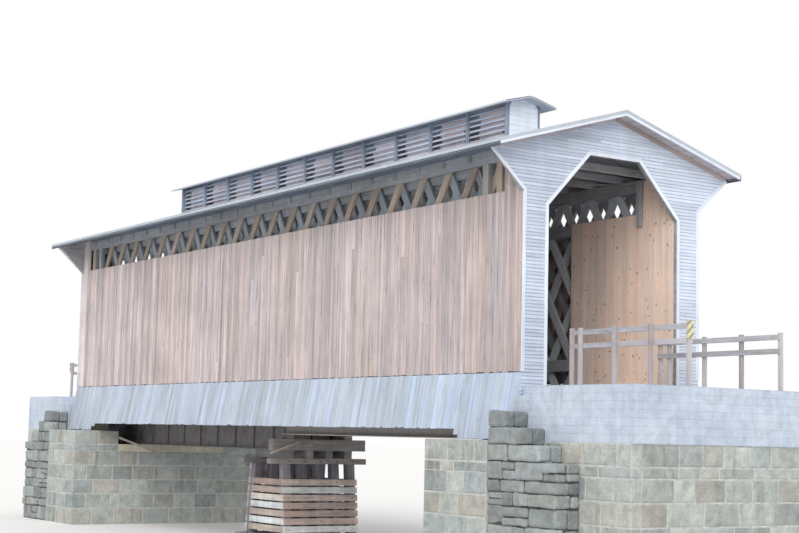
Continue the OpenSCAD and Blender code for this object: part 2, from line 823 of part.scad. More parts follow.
// Sills that the cupola stands on, their cross pieces, and the ridge boards beyond them
module ridge_frame() {
    foot = rafter_z(cupola_side_y);
    cross_x = cupola_len / 2 - cupola_gable_t;
    color("#7a6e62") lifted() {
        both_sides() block([-cupola_len / 2, cupola_side_y - header_w, foot],
                           [cupola_len / 2, cupola_side_y, cupola_sill_z]);
        both_ends() block([cross_x, header_w - cupola_side_y, foot],
                          [cupola_len / 2, cupola_side_y - header_w, board_z(0) - roof_t]);
        both_ends() along(cupola_len / 2, wall_end, [
            [-ridge_board_t / 2, foot], [ridge_board_t / 2, foot],
            [ridge_board_t / 2, board_z(ridge_board_t / 2)], [0, board_z(0)],
            [-ridge_board_t / 2, board_z(ridge_board_t / 2)]]);
    }
}

// One side of the roof, open along the cupola
module roof_side() {
    lifted() difference() {
        along(-roof_end, roof_end, [
            [0, roof_z(0)], [eave_y, roof_z(eave_y)], [eave_y, board_z(eave_y)],
            [0, board_z(0)]]);
        block([-cupola_len / 2, -cupola_side_y, board_z(cupola_side_y) - roof_t],
              [cupola_len / 2, cupola_side_y, ridge_z + roof_t]);
    }
}

module back_roof() {
    color("#b9c0c8") roof_side();
}

module front_roof() {
    color("#b9c0c8") mirror([0, 1, 0]) roof_side();
}

// Soffits under the rafter tails and the boards along the eaves
module eaves() {
    tail_y = eave_y - fascia_t;
    color("#8c7c6c") lifted() both_sides() {
        along(-wall_end, wall_end, [
            [body_w / 2 - siding_t, rafter_z(truss_out)], [tail_y, rafter_z(tail_y)],
            [tail_y, soffit_z(tail_y)], [body_w / 2 - siding_t, soffit_z(truss_out)]]);
        along(-roof_end, roof_end, [
            [tail_y, board_z(tail_y)], [eave_y, board_z(eave_y)],
            [eave_y, soffit_z(eave_y)], [tail_y, soffit_z(tail_y)]]);
    }
}

module cupola_posts() {
    gap = (cupola_len - cupola_post) / cupola_bays;
    inner = cupola_side_y - cupola_post;
    color("#c9ccd2") lifted() both_sides() for (i = [0:cupola_bays]) {
        middle = (cupola_post - cupola_len) / 2 + i * gap;
        half_w = (i == 0 || i == cupola_bays ? cupola_post : cupola_stud) / 2;
        along(middle - half_w, middle + half_w, [
            [inner, cupola_sill_z], [cupola_side_y, cupola_sill_z],
            [cupola_side_y, cupola_under_z(cupola_side_y)], [inner, cupola_under_z(inner)]]);
    }
}

// Sloping boards behind the posts, from the sill to the roof
module cupola_louvers() {
    inner = cupola_side_y - cupola_post;
    gap = (cupola_under_z(inner) - cupola_sill_z) / louvers;
    run = louver_w * cos(louver_tilt);
    rise = louver_w * sin(louver_tilt);
    thick = louver_t / cos(louver_tilt);
    end_x = cupola_len / 2 - cupola_gable_t;
    color("#aeb2b8") lifted() both_sides() for (i = [0:louvers - 1]) {
        foot = cupola_sill_z + i * gap;
        along(-end_x, end_x, [
            [inner, foot], [inner, foot + thick],
            [inner - run, foot + thick + rise], [inner - run, foot + rise]]);
    }
}

module cupola_gables() {
    inner = cupola_side_y - cupola_post;
    color("#b4b9c4") lifted() both_ends()
        along(cupola_len / 2 - cupola_gable_t, cupola_len / 2, [
            [-inner, board_z(0) - roof_t], [inner, board_z(0) - roof_t],
            [inner, cupola_under_z(inner)], [0, cupola_under_z(0)],
            [-inner, cupola_under_z(inner)]]);
}

module cupola_roof() {
    edge = cupola_roof_w / 2;
    end_x = cupola_len / 2 + cupola_overhang;
    color("#b9c0c8") lifted() along(-end_x, end_x, [
        [-edge, cupola_under_z(edge)], [0, cupola_under_z(0)], [edge, cupola_under_z(edge)],
        [edge, cupola_ridge_z - cupola_fall], [0, cupola_ridge_z],
        [-edge, cupola_ridge_z - cupola_fall]]);
}

// One railing: posts outside, two rails on the side of the way
module railing(rise) {
    first_x = rail_last_x - rail_bays * rail_gap;
    posts = concat([first_x - rail_pair], [for (i = [0:rail_bays]) first_x + i * rail_gap]);
    lifted() translate([0, 0, approach_z]) {
        for (x = posts)
            block([x - rail_post / 2, rail_y - rail_post / 2, 0],
                  [x + rail_post / 2, rail_y + rail_post / 2, rail_post_h + rise]);
        for (z = [rail_low + rise, rail_high + rise])
            block([first_x - rail_pair - rail_post / 2, rail_y - rail_post / 2 - rail_t,
                   z - rail_h / 2],
                  [rail_last_x + rail_post / 2, rail_y - rail_post / 2, z + rail_h / 2]);
    }
}

module railings() {
    color("#a39c92") both_ends() {
        railing(0);
        mirror([0, 1, 0]) railing(rail_rise);
    }
}

// Striped plates on the last railing posts of the front side
module marker_plates() {
    face = rail_last_x + rail_post / 2;
    top = approach_z + rail_post_h + rail_rise;
    color("#d8c34a") both_ends() lifted()
        block([face, -rail_y - marker_w / 2, top - marker_h],
              [face + marker_t, -rail_y + marker_w / 2, top]);
}

left_abutment();
right_abutment();
left_wing_walls();
right_wing_walls();
rubble_walls();
bearings();
pier_sills();
pier_posts();
pier_slats();
pier_caps();
left_girders();
right_girders();
floor_beams();
deck_stringers();
deck_planks();
front_bottom_chords();
front_top_chords();
back_bottom_chords();
back_top_chords();
front_outer_lattice();
front_inner_lattice();
back_inner_lattice();
back_outer_lattice();
truss_end_posts();
front_siding();
back_siding();
front_skirt();
back_skirt();
left_portal();
right_portal();
portal_trim();
portal_linings();
tie_beams();
lateral_braces();
wall_plates();
rafters();
ridge_frame();
front_roof();
back_roof();
eaves();
cupola_posts();
cupola_louvers();
cupola_gables();
cupola_roof();
railings();
marker_plates();
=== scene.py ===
"""Dresses the fixed frame of a covered lattice bridge with boards, stones, seams and finishes.

The bridge runs along X. Its front side faces -Y, and its right portal faces +X.
Most pieces are built for the right end and the back side, and flipped over to the others.
"""

import math
import random

import bmesh
import bpy
import numpy as np
from bpy.props import FloatProperty, FloatVectorProperty, PointerProperty
from mathutils import Matrix, Vector, noise


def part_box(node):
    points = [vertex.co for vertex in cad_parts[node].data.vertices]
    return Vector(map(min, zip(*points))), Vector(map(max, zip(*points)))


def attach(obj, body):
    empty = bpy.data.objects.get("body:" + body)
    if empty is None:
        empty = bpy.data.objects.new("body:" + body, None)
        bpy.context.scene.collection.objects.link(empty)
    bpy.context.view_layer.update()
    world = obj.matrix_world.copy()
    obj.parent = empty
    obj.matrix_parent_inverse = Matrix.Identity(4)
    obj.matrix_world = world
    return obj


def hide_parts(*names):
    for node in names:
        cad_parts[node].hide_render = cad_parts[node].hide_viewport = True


bl_info = {
    "name": "Covered Lattice Bridge",
    "version": (1, 0, 0),
    "blender": (4, 5, 0),
    "location": "View3D > Sidebar > Bridge",
    "description": "Boards, stones and finishes for a covered lattice bridge",
    "category": "Object",
}

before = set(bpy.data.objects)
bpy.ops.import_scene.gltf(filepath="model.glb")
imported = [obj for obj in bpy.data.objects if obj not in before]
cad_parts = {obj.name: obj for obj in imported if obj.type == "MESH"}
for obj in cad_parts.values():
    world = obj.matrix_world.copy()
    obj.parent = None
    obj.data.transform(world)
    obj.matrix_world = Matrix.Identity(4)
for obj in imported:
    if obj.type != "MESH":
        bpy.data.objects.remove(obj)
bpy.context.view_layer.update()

# Without a seed the stones would be uneven in another way at each run
noise.seed_set(1)

X = Vector((1, 0, 0))
Y = Vector((0, 1, 0))
Z = Vector((0, 0, 1))


def low(node):
    """Lowest corner of a frame node."""
    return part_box(node)[0]


def high(node):
    """Highest corner of a frame node."""
    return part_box(node)[1]


# Places that the pieces share, taken from the frame, in metres
FOOT = low("back_siding").z
HALF_LEN = high("deck_planks").x
WALL_END = high("wall_plates").x
TRUSS_END = high("back_top_chords").x
SIDE_Y = high("back_siding").y
EAVE_Y = high("back_roof").y
ROOF_END = high("back_roof").x
RIDGE_Z = high("back_roof").z
ROOF_TILT = math.radians(16.7)
ROOF_SLOPE = math.tan(ROOF_TILT)
ROOF_T = 0.06
DECK_TOP = high("deck_planks").z
DOOR_HALF = 2.34
DOOR_SIDE_Z = FOOT + 4.5
DOOR_HEAD_Z = FOOT + 6.03
DOOR_HEAD_HALF = 0.9
FLARE_Z = FOOT + 4.83
FLARE_TIP = EAVE_Y - 0.09
PORTAL_FOOT = low("right_portal").z
TRIM_W = 0.1
TRIM_T = 0.03
BARGE_H = 0.075
EDGE_T = 0.05
BOARD_GAP = 0.0015
PLANK_GAP = 0.002
SKIRT_FLARE = 0.28
SKIRT_H = 1.54
SKIRT_T = 0.045
DEEP_SKIRT_X = 12.85
RAFTER_H = 0.07
SOFFIT_T = 0.025
SOFFIT_DROP = (RAFTER_H + SOFFIT_T) / math.cos(ROOF_TILT)
LINING_Y = DOOR_HALF + 0.03
LINING_TOP = FOOT + 4.87
LINING_X = HALF_LEN - 4.66
TALL_X = HALF_LEN - 1.4
STRIP_Z = FOOT + 4.9
PANEL_X = HALF_LEN - 0.85
TRUSS_LOW = low("back_outer_lattice").z
TRUSS_TOP = high("back_outer_lattice").z
BAYS = 24
PITCH = 2 * HALF_LEN / BAYS
CHORD_HALF = 0.175
CHORD_LOW = TRUSS_LOW + CHORD_HALF
ROW_H = (TRUSS_TOP - CHORD_HALF - CHORD_LOW) / 6
PLANK_W = 0.27
WEB_T = 0.08
WEB_SHIFT = 0.29
TRUSS_Y = high("back_top_chords").y
GIRDER_Y = 1.2
CUPOLA_END = high("cupola_gables").x
CUPOLA_SILL = low("cupola_posts").z
CUPOLA_Y = high("cupola_posts").y
CUPOLA_BAYS = 11
PIER_X = (low("pier_caps").x + high("pier_caps").x) / 2
BENT = 1.0
BENT_SPREAD = 0.25
POST_TOP = FOOT - 2.82
SLAT_TOP = FOOT - 3.35
SLAT_FOOT = low("pier_slats").z
SLAT_PITCH = (SLAT_TOP - SLAT_FOOT) / 7
SLAT_H = SLAT_PITCH - 0.055
SLAT_T = 0.05
STONE_X = low("right_abutment").x
STONE_END = low("right_wing_walls").x
APPROACH_END = high("right_wing_walls").x
WING_Y = high("right_wing_walls").y
CHEEK_Z = low("right_wing_walls").z
SEAT_Z = FOOT - 2.65
SEAT_Y = 2.41
RUBBLE_Y = high("rubble_walls").y


def roof_top(y):
    """Height of the top of the main roof at a distance from the middle line."""
    return RIDGE_Z - ROOF_SLOPE * abs(y)


def roof_under(y):
    """Height of the underside of the roof boards."""
    return roof_top(y) - ROOF_T / math.cos(ROOF_TILT)


def soffit_under(y):
    """Height of the underside of the soffit."""
    return roof_under(y) - SOFFIT_DROP


def skirt_y(z):
    """Distance of the skirt's outer face from the middle line at a height."""
    return SIDE_Y + SKIRT_FLARE * (FOOT - z) / SKIRT_H


def srgb(r, g, b):
    """Linear colour of a display colour from 0 to 255."""
    return tuple(
        c / 12.92 if c <= 0.04045 else ((c + 0.055) / 1.055) ** 2.4
        for c in (r / 255, g / 255, b / 255)
    )


# ---- settings


def colour(name, about, r, g, b):
    """Colour property with a default in display values."""
    return FloatVectorProperty(
        name=name, description=about, subtype="COLOR", size=3, min=0, max=1,
        default=srgb(r, g, b),
    )


def length(name, about, default):
    """Length property."""
    return FloatProperty(
        name=name, description=about, default=default, min=0.001, unit="LENGTH"
    )


class BridgeSizes(bpy.types.PropertyGroup):
    """Sizes of the boards, stones and fastenings."""

    board_min: length("Narrowest side board", "Width of the narrowest side board", 0.09)
    board_max: length("Widest side board", "Width of the widest side board", 0.18)
    skirt_min: length("Narrowest skirt board", "Width of the narrowest skirt board", 0.13)
    skirt_max: length("Widest skirt board", "Width of the widest skirt board", 0.3)
    lap: length("Clapboard exposure", "Height that each clapboard shows", 0.096)
    deck_board: length("Floor plank width", "Width of the floor planks", 0.26)
    seam_gap: length("Seam distance", "Distance between the roof seams", 0.5)
    seam_h: length("Seam height", "Height of the roof seams", 0.028)
    joint: length("Mortar joint", "Width of the joints between squared stones", 0.036)
    pin: length("Pin radius", "Radius of the wooden pins in the lattice", 0.022)
    rivet: length("Rivet radius", "Radius of the rivet heads", 0.02)
    bolt: length("Bolt radius", "Radius of the bolt heads", 0.018)
    edge: length("Edge", "Width of the worn edge of a timber", 0.007)


class BridgeColours(bpy.types.PropertyGroup):
    """Main colour of each finish."""

    siding: colour("Side boards", "Colour of the side boards", 197, 188, 189)
    skirt: colour("Skirt boards", "Colour of the skirt boards", 182, 193, 209)
    clapboard: colour("Clapboards", "Colour of the portal clapboards", 208, 218, 235)
    trim: colour("Trim", "Colour of the casings and barge boards", 226, 234, 246)
    lining: colour("Lining", "Colour of the boards behind the portals", 240, 220, 208)
    timber: colour("Dark timber", "Colour of the beams under the roof and floor", 142, 138, 136)
    pier: colour("Pier timber", "Colour of the pier posts", 132, 131, 139)
    slat: colour("Pier slats", "Colour of the slats on the pier", 226, 219, 214)
    stone: colour("Stone", "Colour of the squared stones", 170, 175, 173)
    mortar: colour("Mortar", "Colour of the mortar", 196, 199, 196)
    rubble: colour("Rubble", "Colour of the rubble stones", 146, 152, 153)
    concrete: colour("Concrete", "Colour of the concrete walls", 191, 201, 217)
    steel: colour("Steel", "Colour of the girders", 131, 131, 132)
    roof: colour("Roof", "Colour of the roof sheets", 188, 198, 210)
    rail: colour("Railings", "Colour of the railings", 178, 177, 182)


class BridgeLight(bpy.types.PropertyGroup):
    """Light of the stage."""

    sky: FloatProperty(name="Sky", description="Strength of the even light", default=0.74)
    sun: FloatProperty(name="Sun", description="Strength of the soft sun", default=2.0)
    sun_width: FloatProperty(
        name="Sun width", description="Softness of the sun",
        default=math.radians(50), subtype="ANGLE",
    )


# ---- shaping


class Joinery:
    """Gathers timbers, stones and fastenings into one mesh.

    Each of them gets its own grain direction, a tone (how light it is) and a hue
    (its place between the colours of its finish).
    """

    def __init__(self, seed):
        self.random = random.Random(seed)
        self.points, self.faces = [], []
        self.grain, self.tone, self.hue = [], [], []
        self.flip = (1, 1)

    def add(self, points, faces, along, across, tone=None, hue=None):
        """Adds one solid. The grain runs along one direction."""
        base = len(self.points)
        sx, sy = self.flip
        tone = self.random.random() if tone is None else tone
        hue = self.random.random() if hue is None else hue
        up = along.cross(across)
        shift = Vector([self.random.uniform(0, 60) for _ in range(3)])
        for p in points:
            self.grain.append((
                p.dot(along) + shift.x, p.dot(across) + shift.y, p.dot(up) + shift.z
            ))
            self.points.append((p.x * sx, p.y * sy, p.z))
        self.tone += [tone] * len(points)
        self.hue += [hue] * len(points)
        turned = sx * sy < 0
        for f in faces:
            ring = [base + i for i in f]
            self.faces.append(ring[::-1] if turned else ring)

    def slab(self, outline, outward, thick, along, edge=0.004, tone=None, hue=None):
        """Board with a flat outline that stands out by thick, a number or a function."""
        normal = Vector((0, 0, 0))
        for i, p in enumerate(outline):
            normal += outline[i - 1].cross(p)
        ring = list(outline) if normal.dot(outward) > 0 else list(outline)[::-1]
        n = len(ring)
        depth = thick if callable(thick) else (lambda p: thick)
        inner = []
        for i, p in enumerate(ring):
            before = (p - ring[i - 1]).normalized()
            after = (ring[(i + 1) % n] - p).normalized()
            a, b = outward.cross(before), outward.cross(after)
            inner.append(p + (a + b) * (edge / max(0.35, 1 + a.dot(b))))
        points = ring
        points = points + [p + outward * (depth(p) - edge) for p in ring]
        points = points + [q + outward * depth(p) for p, q in zip(ring, inner)]
        faces = [list(range(n))[::-1], list(range(2 * n, 3 * n))]
        for i in range(n):
            j = (i + 1) % n
            faces += [[i, j, n + j, n + i], [n + i, n + j, 2 * n + j, 2 * n + i]]
        across = outward.cross(along).normalized()
        self.add(points, faces, along.normalized(), across, tone, hue)

    def beam(self, start, end, width, height, up=Z, edge=0.008, tone=None, hue=None):
        """Squared timber between two points, with its edges taken off."""
        axis = (end - start).normalized()
        side = axis.cross(up).normalized()
        top = side.cross(axis)
        w, h = width / 2, height / 2
        edge = min(edge, w / 2, h / 2)
        corners = [
            (w, -h + edge), (w, h - edge), (w - edge, h), (-w + edge, h),
            (-w, h - edge), (-w, -h + edge), (-w + edge, -h), (w - edge, -h),
        ]
        points = []
        for centre, cut in (
            (start, edge), (start + axis * edge, 0), (end - axis * edge, 0), (end, edge)
        ):
            for a, b in corners:
                a -= math.copysign(cut, a)
                b -= math.copysign(cut, b)
                points.append(centre + side * a + top * b)
        faces = [list(range(8)), list(range(24, 32))[::-1]]
        for k in range(3):
            for i in range(8):
                j = (i + 1) % 8
                faces.append([k * 8 + j, k * 8 + i, k * 8 + 8 + i, k * 8 + 8 + j])
        self.add(points, faces, axis, side, tone, hue)

    def box(self, lo, hi, edge=0.008, tone=None, hue=None):
        """Squared timber between two corners, with its grain along its longest side."""
        lo, hi = Vector(lo), Vector(hi)
        size = hi - lo
        mid = (lo + hi) / 2
        k = max(range(3), key=lambda i: size[i])
        reach = Vector([size[i] / 2 if i == k else 0 for i in range(3)])
        up = X if k == 2 else Z
        width = size[(1, 0, 1)[k]]
        height = size[(2, 2, 0)[k]]
        self.beam(mid - reach, mid + reach, width, height, up, edge, tone, hue)

    def stud(self, centre, outward, radius, rise, sides=8, tone=None, hue=None):
        """Domed head of a rivet, bolt or pin."""
        side = outward.orthogonal().normalized()
        other = outward.cross(side)
        points = []
        for r, h in ((1.0, -0.2), (0.95, 0.35), (0.55, 0.88)):
            for i in range(sides):
                a = 2 * math.pi * i / sides
                points.append(
                    centre + (side * math.cos(a) + other * math.sin(a)) * radius * r
                    + outward * rise * h
                )
        points.append(centre + outward * rise)
        tip = 3 * sides
        faces = [list(range(sides))[::-1]]
        for i in range(sides):
            j = (i + 1) % sides
            faces += [[i, j, sides + j, sides + i]]
            faces += [[sides + i, sides + j, 2 * sides + j, 2 * sides + i]]
            faces += [[2 * sides + i, 2 * sides + j, tip]]
        self.add(points, faces, outward, side, tone, hue)

    def stone(self, lo, hi, wear=0.03, rough=0.012, cuts=4):
        """Block of stone with worn edges and an uneven face."""
        lo, hi = Vector(lo), Vector(hi)
        size = hi - lo
        wear = min(wear, *(s * 0.3 for s in size))
        steps = []
        for k in range(3):
            inner = [
                wear + (size[k] - 2 * wear) * i / (cuts - 2) for i in range(cuts - 1)
            ]
            steps.append([0.0] + inner + [size[k]])
        n = cuts
        index, points = {}, []
        seed = Vector([self.random.uniform(0, 90) for _ in range(3)])
        for i in range(n + 1):
            for j in range(n + 1):
                for k in range(n + 1):
                    ends = [c in (0, n) for c in (i, j, k)]
                    if not any(ends):
                        continue
                    p = Vector((steps[0][i], steps[1][j], steps[2][k]))
                    if sum(ends) > 1:
                        pull = wear * (0.3 if sum(ends) == 2 else 0.42)
                        for c, at in enumerate((i, j, k)):
                            if at == 0:
                                p[c] += pull
                            elif at == n:
                                p[c] -= pull
                    p += lo
                    push = noise.noise_vector(p * 2.3 + seed) * rough
                    push += noise.noise_vector(p * 7.1 + seed) * rough * 0.5
                    p += push * (1.0 if sum(ends) == 1 else 0.5)
                    p.z = max(p.z, 0.0)
                    p.x = min(p.x, APPROACH_END)
                    index[i, j, k] = len(points)
                    points.append(p)
        faces = []
        for a in range(n):
            for b in range(n):
                for c in (0, n):
                    quad = [(a, b), (a + 1, b), (a + 1, b + 1), (a, b + 1)]
                    rings = [
                        [index[c, p, q] for p, q in quad],
                        [index[q, c, p] for p, q in quad],
                        [index[p, q, c] for p, q in quad],
                    ]
                    faces += [r if c == n else r[::-1] for r in rings]
        self.add(points, faces, X, Y)

    def deliver(self, name, key, slot, *nodes):
        """Makes the piece in a finish, and lets it stand for frame nodes."""
        mesh = bpy.data.meshes.new(name)
        mesh.from_pydata(self.points, [], self.faces)
        for each, kind, field, values in (
            ("grain", "FLOAT_VECTOR", "vector", self.grain),
            ("tone", "FLOAT", "value", self.tone),
            ("hue", "FLOAT", "value", self.hue),
        ):
            layer = mesh.attributes.new(each, kind, "POINT")
            layer.data.foreach_set(field, np.array(values, np.float32).ravel())
        mesh.polygons.foreach_set("use_smooth", [False] * len(mesh.polygons))
        mesh.materials.append(finish(key))
        mesh.update()
        piece = bpy.data.objects.new(name, mesh)
        bpy.context.scene.collection.objects.link(piece)
        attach(piece, "root")
        if nodes:
            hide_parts(*nodes)


def solids(node, edge=0.0):
    """Separate solids of a frame node, as lists of points and faces, with bevelled edges."""
    work = bmesh.new()
    work.from_mesh(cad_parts[node].data)
    bmesh.ops.remove_doubles(work, verts=work.verts, dist=1e-4)
    bmesh.ops.dissolve_limit(
        work, angle_limit=math.radians(0.5), verts=work.verts, edges=work.edges
    )
    if edge:
        bmesh.ops.bevel(
            work, geom=work.edges[:], offset=edge, segments=1, affect="EDGES",
            profile=0.5, clamp_overlap=True,
        )
    work.verts.ensure_lookup_table()
    work.verts.index_update()
    seen, parts = set(), []
    for first in work.verts:
        if first.index in seen:
            continue
        seen.add(first.index)
        ring, stack = [], [first]
        while stack:
            v = stack.pop()
            ring.append(v)
            for e in v.link_edges:
                other = e.other_vert(v)
                if other.index not in seen:
                    seen.add(other.index)
                    stack.append(other)
        at = {v.index: i for i, v in enumerate(ring)}
        faces = {f for v in ring for f in v.link_faces}
        faces = sorted(faces, key=lambda f: f.index)
        parts.append((
            [v.co.copy() for v in ring],
            [[at[v.index] for v in f.verts] for f in faces],
        ))
    work.free()
    return parts


def dress(work, node, edge):
    """Adds a frame node's solids as timbers, each with its grain along its length."""
    for points, faces in solids(node, edge):
        cloud = np.array(points)
        spread = cloud - cloud.mean(0)
        vectors = np.linalg.eigh(spread.T @ spread)[1]
        along, across = (Vector(vectors[:, k]).normalized() for k in (2, 1))
        work.add(points, faces, along, across)


def dressed(seed, node, name, key, slot, edge):
    """Makes a frame node's timbers as one piece that stands for it."""
    work = Joinery(seed)
    dress(work, node, edge)
    work.deliver(name, key, slot, node)


def built(seed, flips, build, *values):
    """What a function builds, once for each flip."""
    work = Joinery(seed)
    for flip in flips:
        work.flip = flip
        build(work, *values)
    return work


def span(points):
    """Lowest and highest corner of a set of points."""
    return [Vector([pick(p[k] for p in points) for k in range(3)]) for pick in (min, max)]


def clip(polygon, point, normal):
    """Part of a flat polygon on the side of a plane that the normal points away from."""
    kept = []
    for i, p in enumerate(polygon):
        q = polygon[(i + 1) % len(polygon)]
        a, b = (p - point).dot(normal), (q - point).dot(normal)
        if a <= 0:
            kept.append(p)
        if a * b < 0:
            kept.append(p + (q - p) * (a / (a - b)))
    return kept


def tidy_ring(polygon, gap=0.004):
    """Polygon without points that nearly coincide."""
    ring = [p for i, p in enumerate(polygon) if (p - polygon[i - 1]).length > gap]
    return ring if len(ring) > 2 else []


def splits(rng, start, end, least, most):
    """Places that cut a length into uneven parts."""
    marks = [start]
    while end - marks[-1] > most + least * 0.5:
        marks.append(marks[-1] + rng.uniform(least, most))
    marks.append(end)
    return marks


def parts_of(places):
    """Both ends of each part between places."""
    return list(zip(places, places[1:]))


def quad(at, a, b, c, d):
    """Four corners, from a to b one way and from c to d the other, placed by a function."""
    return [at(a, c), at(b, c), at(b, d), at(a, d)]


def upright(y):
    """Function that places a point of a wall that runs along the bridge."""
    return lambda x, z: Vector((x, y, z))


# Flips of what is built for the right end of the back side
ONCE = ((1, 1),)
BOTH_SIDES = ((1, 1), (1, -1))
BOTH_ENDS = ((1, 1), (-1, 1))
ALL_CORNERS = ((1, 1), (1, -1), (-1, 1), (-1, -1))

# Name, number and flip of each side and of each end
SIDES = (("back", 1, (1, 1)), ("front", 2, (1, -1)))
ENDS = (("left", 1, (-1, 1)), ("right", 2, (1, 1)))


# ---- finishes


class Tree:
    """Adds nodes to a material or a node group with short calls."""

    def __init__(self, tree):
        self.tree = tree

    def node(self, kind, **settings):
        """New node with its settings."""
        made = self.tree.nodes.new(kind)
        for key, value in settings.items():
            setattr(made, key, value)
        return made

    def feed(self, socket, value):
        """Links or sets a socket."""
        if isinstance(value, bpy.types.NodeSocket):
            self.tree.links.new(value, socket)
        elif isinstance(value, (tuple, list, Vector)) and len(value) == 3 \
                and socket.type == "RGBA":
            socket.default_value = (*value, 1)
        else:
            socket.default_value = value

    def math(self, operation, a, b=0.0):
        """Math node."""
        made = self.node("ShaderNodeMath", operation=operation)
        self.feed(made.inputs[0], a)
        self.feed(made.inputs[1], b)
        return made.outputs[0]

    def times(self, first, *others):
        """Product of values."""
        for other in others:
            first = self.math("MULTIPLY", first, other)
        return first

    def scale(self, vector, x, y, z):
        """Vector stretched by three numbers or sockets."""
        joined = self.node("ShaderNodeCombineXYZ")
        for socket, value in zip(joined.inputs, (x, y, z)):
            self.feed(socket, value)
        made = self.node("ShaderNodeVectorMath", operation="MULTIPLY")
        self.feed(made.inputs[0], vector)
        self.feed(made.inputs[1], joined.outputs[0])
        return made.outputs[0]

    def noise(self, vector, scale=1.0, detail=3.0, rough=0.55, bend=0.0):
        """Noise from 0 to 1."""
        made = self.node("ShaderNodeTexNoise")
        self.feed(made.inputs["Vector"], vector)
        made.inputs["Scale"].default_value = scale
        made.inputs["Detail"].default_value = detail
        made.inputs["Roughness"].default_value = rough
        made.inputs["Distortion"].default_value = bend
        return made.outputs[0]

    def cells(self, vector, scale=1.0):
        """Voronoi node."""
        made = self.node("ShaderNodeTexVoronoi")
        self.feed(made.inputs["Vector"], vector)
        made.inputs["Scale"].default_value = scale
        return made

    def remap(self, value, low_in, high_in, low_out=0.0, high_out=1.0):
        """Value moved from one range to another, and held inside it."""
        made = self.node("ShaderNodeMapRange", clamp=True)
        for socket, v in zip(made.inputs, (value, low_in, high_in, low_out, high_out)):
            self.feed(socket, v)
        return made.outputs[0]

    def swing(self, value, amount):
        """Value from 0 to 1 turned into a factor round 1."""
        return self.remap(value, 0, 1, 1 - amount, 1 + amount)

    def bands(self, value, pitch, low_in, high_in):
        """Bands that repeat at a pitch."""
        wave = self.math("FRACT", self.math("DIVIDE", value, pitch))
        return self.remap(self.math("ABSOLUTE", self.math("SUBTRACT", wave, 0.5)), low_in, high_in)

    def ramp(self, factor, stops):
        """Colour ramp from (place, colour) pairs."""
        made = self.node("ShaderNodeValToRGB")
        self.feed(made.inputs[0], factor)
        points = made.color_ramp.elements
        while len(points) < len(stops):
            points.new(0.5)
        for point, (place, shade) in zip(points, stops):
            point.position = place
            point.color = (*shade, 1)
        return made.outputs[0]

    def mix(self, factor, a, b, blend="MIX"):
        """Two colours mixed."""
        made = self.node("ShaderNodeMix", data_type="RGBA", blend_type=blend)
        self.feed(made.inputs[0], factor)
        self.feed(made.inputs[6], a)
        self.feed(made.inputs[7], b)
        return made.outputs[2]

    def own(self, name, output="Fac"):
        """Value that each board or stone carries."""
        return self.node("ShaderNodeAttribute", attribute_name=name).outputs[output]

    def position(self):
        """Place on the bridge, in metres."""
        return self.node("ShaderNodeNewGeometry").outputs["Position"]

    def parts(self, vector):
        """The three numbers of a vector."""
        made = self.node("ShaderNodeSeparateXYZ")
        self.feed(made.inputs[0], vector)
        return made.outputs

    def group(self, group, **inputs):
        """Shared effect placed in this tree."""
        made = self.node("ShaderNodeGroup", node_tree=group)
        for key, value in inputs.items():
            self.feed(made.inputs[key.replace("_", " ")], value)
        return made.outputs


def new_group(name, inputs, outputs):
    """Node group with float and vector sockets, and its two ends."""
    group = bpy.data.node_groups.new(name, "ShaderNodeTree")
    for key, default in inputs:
        kind = "NodeSocketVector" if default is None else "NodeSocketFloat"
        made = group.interface.new_socket(name=key, in_out="INPUT", socket_type=kind)
        if default is not None:
            made.default_value = default
    for key in outputs:
        group.interface.new_socket(name=key, in_out="OUTPUT", socket_type="NodeSocketFloat")
    start = group.nodes.new("NodeGroupInput")
    end = group.nodes.new("NodeGroupOutput")
    return group, Tree(group), start.outputs, end.inputs


def grain_group():
    """Grain of weathered wood: wide streaks, fine fibres and open cracks."""
    group, tree, given, out = new_group(
        "Timber grain", [("Vector", None), ("Along", 0.7), ("Across", 16.0)],
        ["Streak", "Fibre", "Crack"],
    )
    vector, along, across = given["Vector"], given["Along"], given["Across"]
    wide = tree.scale(vector, along, across, across)
    tree.feed(out["Streak"], tree.remap(tree.noise(wide, 1, 2.5, 0.6, 0.3), 0.28, 0.72))
    fine = tree.scale(vector, tree.times(along, 2.5), tree.times(across, 5), tree.times(across, 5))
    tree.feed(out["Fibre"], tree.remap(tree.noise(fine, 1, 2, 0.6), 0.25, 0.75))
    split = tree.scale(
        vector, tree.times(along, 0.8), tree.times(across, 0.9), tree.times(across, 0.4)
    )
    ridge = tree.math("ABSOLUTE", tree.math("SUBTRACT", tree.noise(split, 1, 2, 0.5, 0.4), 0.5))
    line = tree.remap(ridge, 0.004, 0.022, 1, 0)
    where = tree.remap(tree.noise(tree.scale(vector, 0.35, 1.3, 1.3), 1, 1), 0.5, 0.62)
    tree.feed(out["Crack"], tree.times(line, where))
    return group


def knot_group():
    """Small knots in a board, and the rings round them."""
    group, tree, given, out = new_group(
        "Timber knots", [("Vector", None), ("Share", 0.4), ("Size", 1.0)], ["Knot", "Ring"]
    )
    cells = tree.cells(tree.scale(given["Vector"], 4.2, 4.6, 3.0))
    chosen = tree.node("ShaderNodeSeparateColor")
    tree.feed(chosen.inputs[0], cells.outputs["Color"])
    here = tree.math("LESS_THAN", chosen.outputs[0], given["Share"])
    distance = tree.math("DIVIDE", cells.outputs["Distance"], given["Size"])
    tree.feed(out["Knot"], tree.times(tree.remap(distance, 0.05, 0.11, 1, 0), here))
    waves = tree.math("SINE", tree.times(distance, 60))
    near = tree.remap(distance, 0.1, 0.5, 1, 0)
    tree.feed(out["Ring"], tree.times(waves, near, here))
    return group


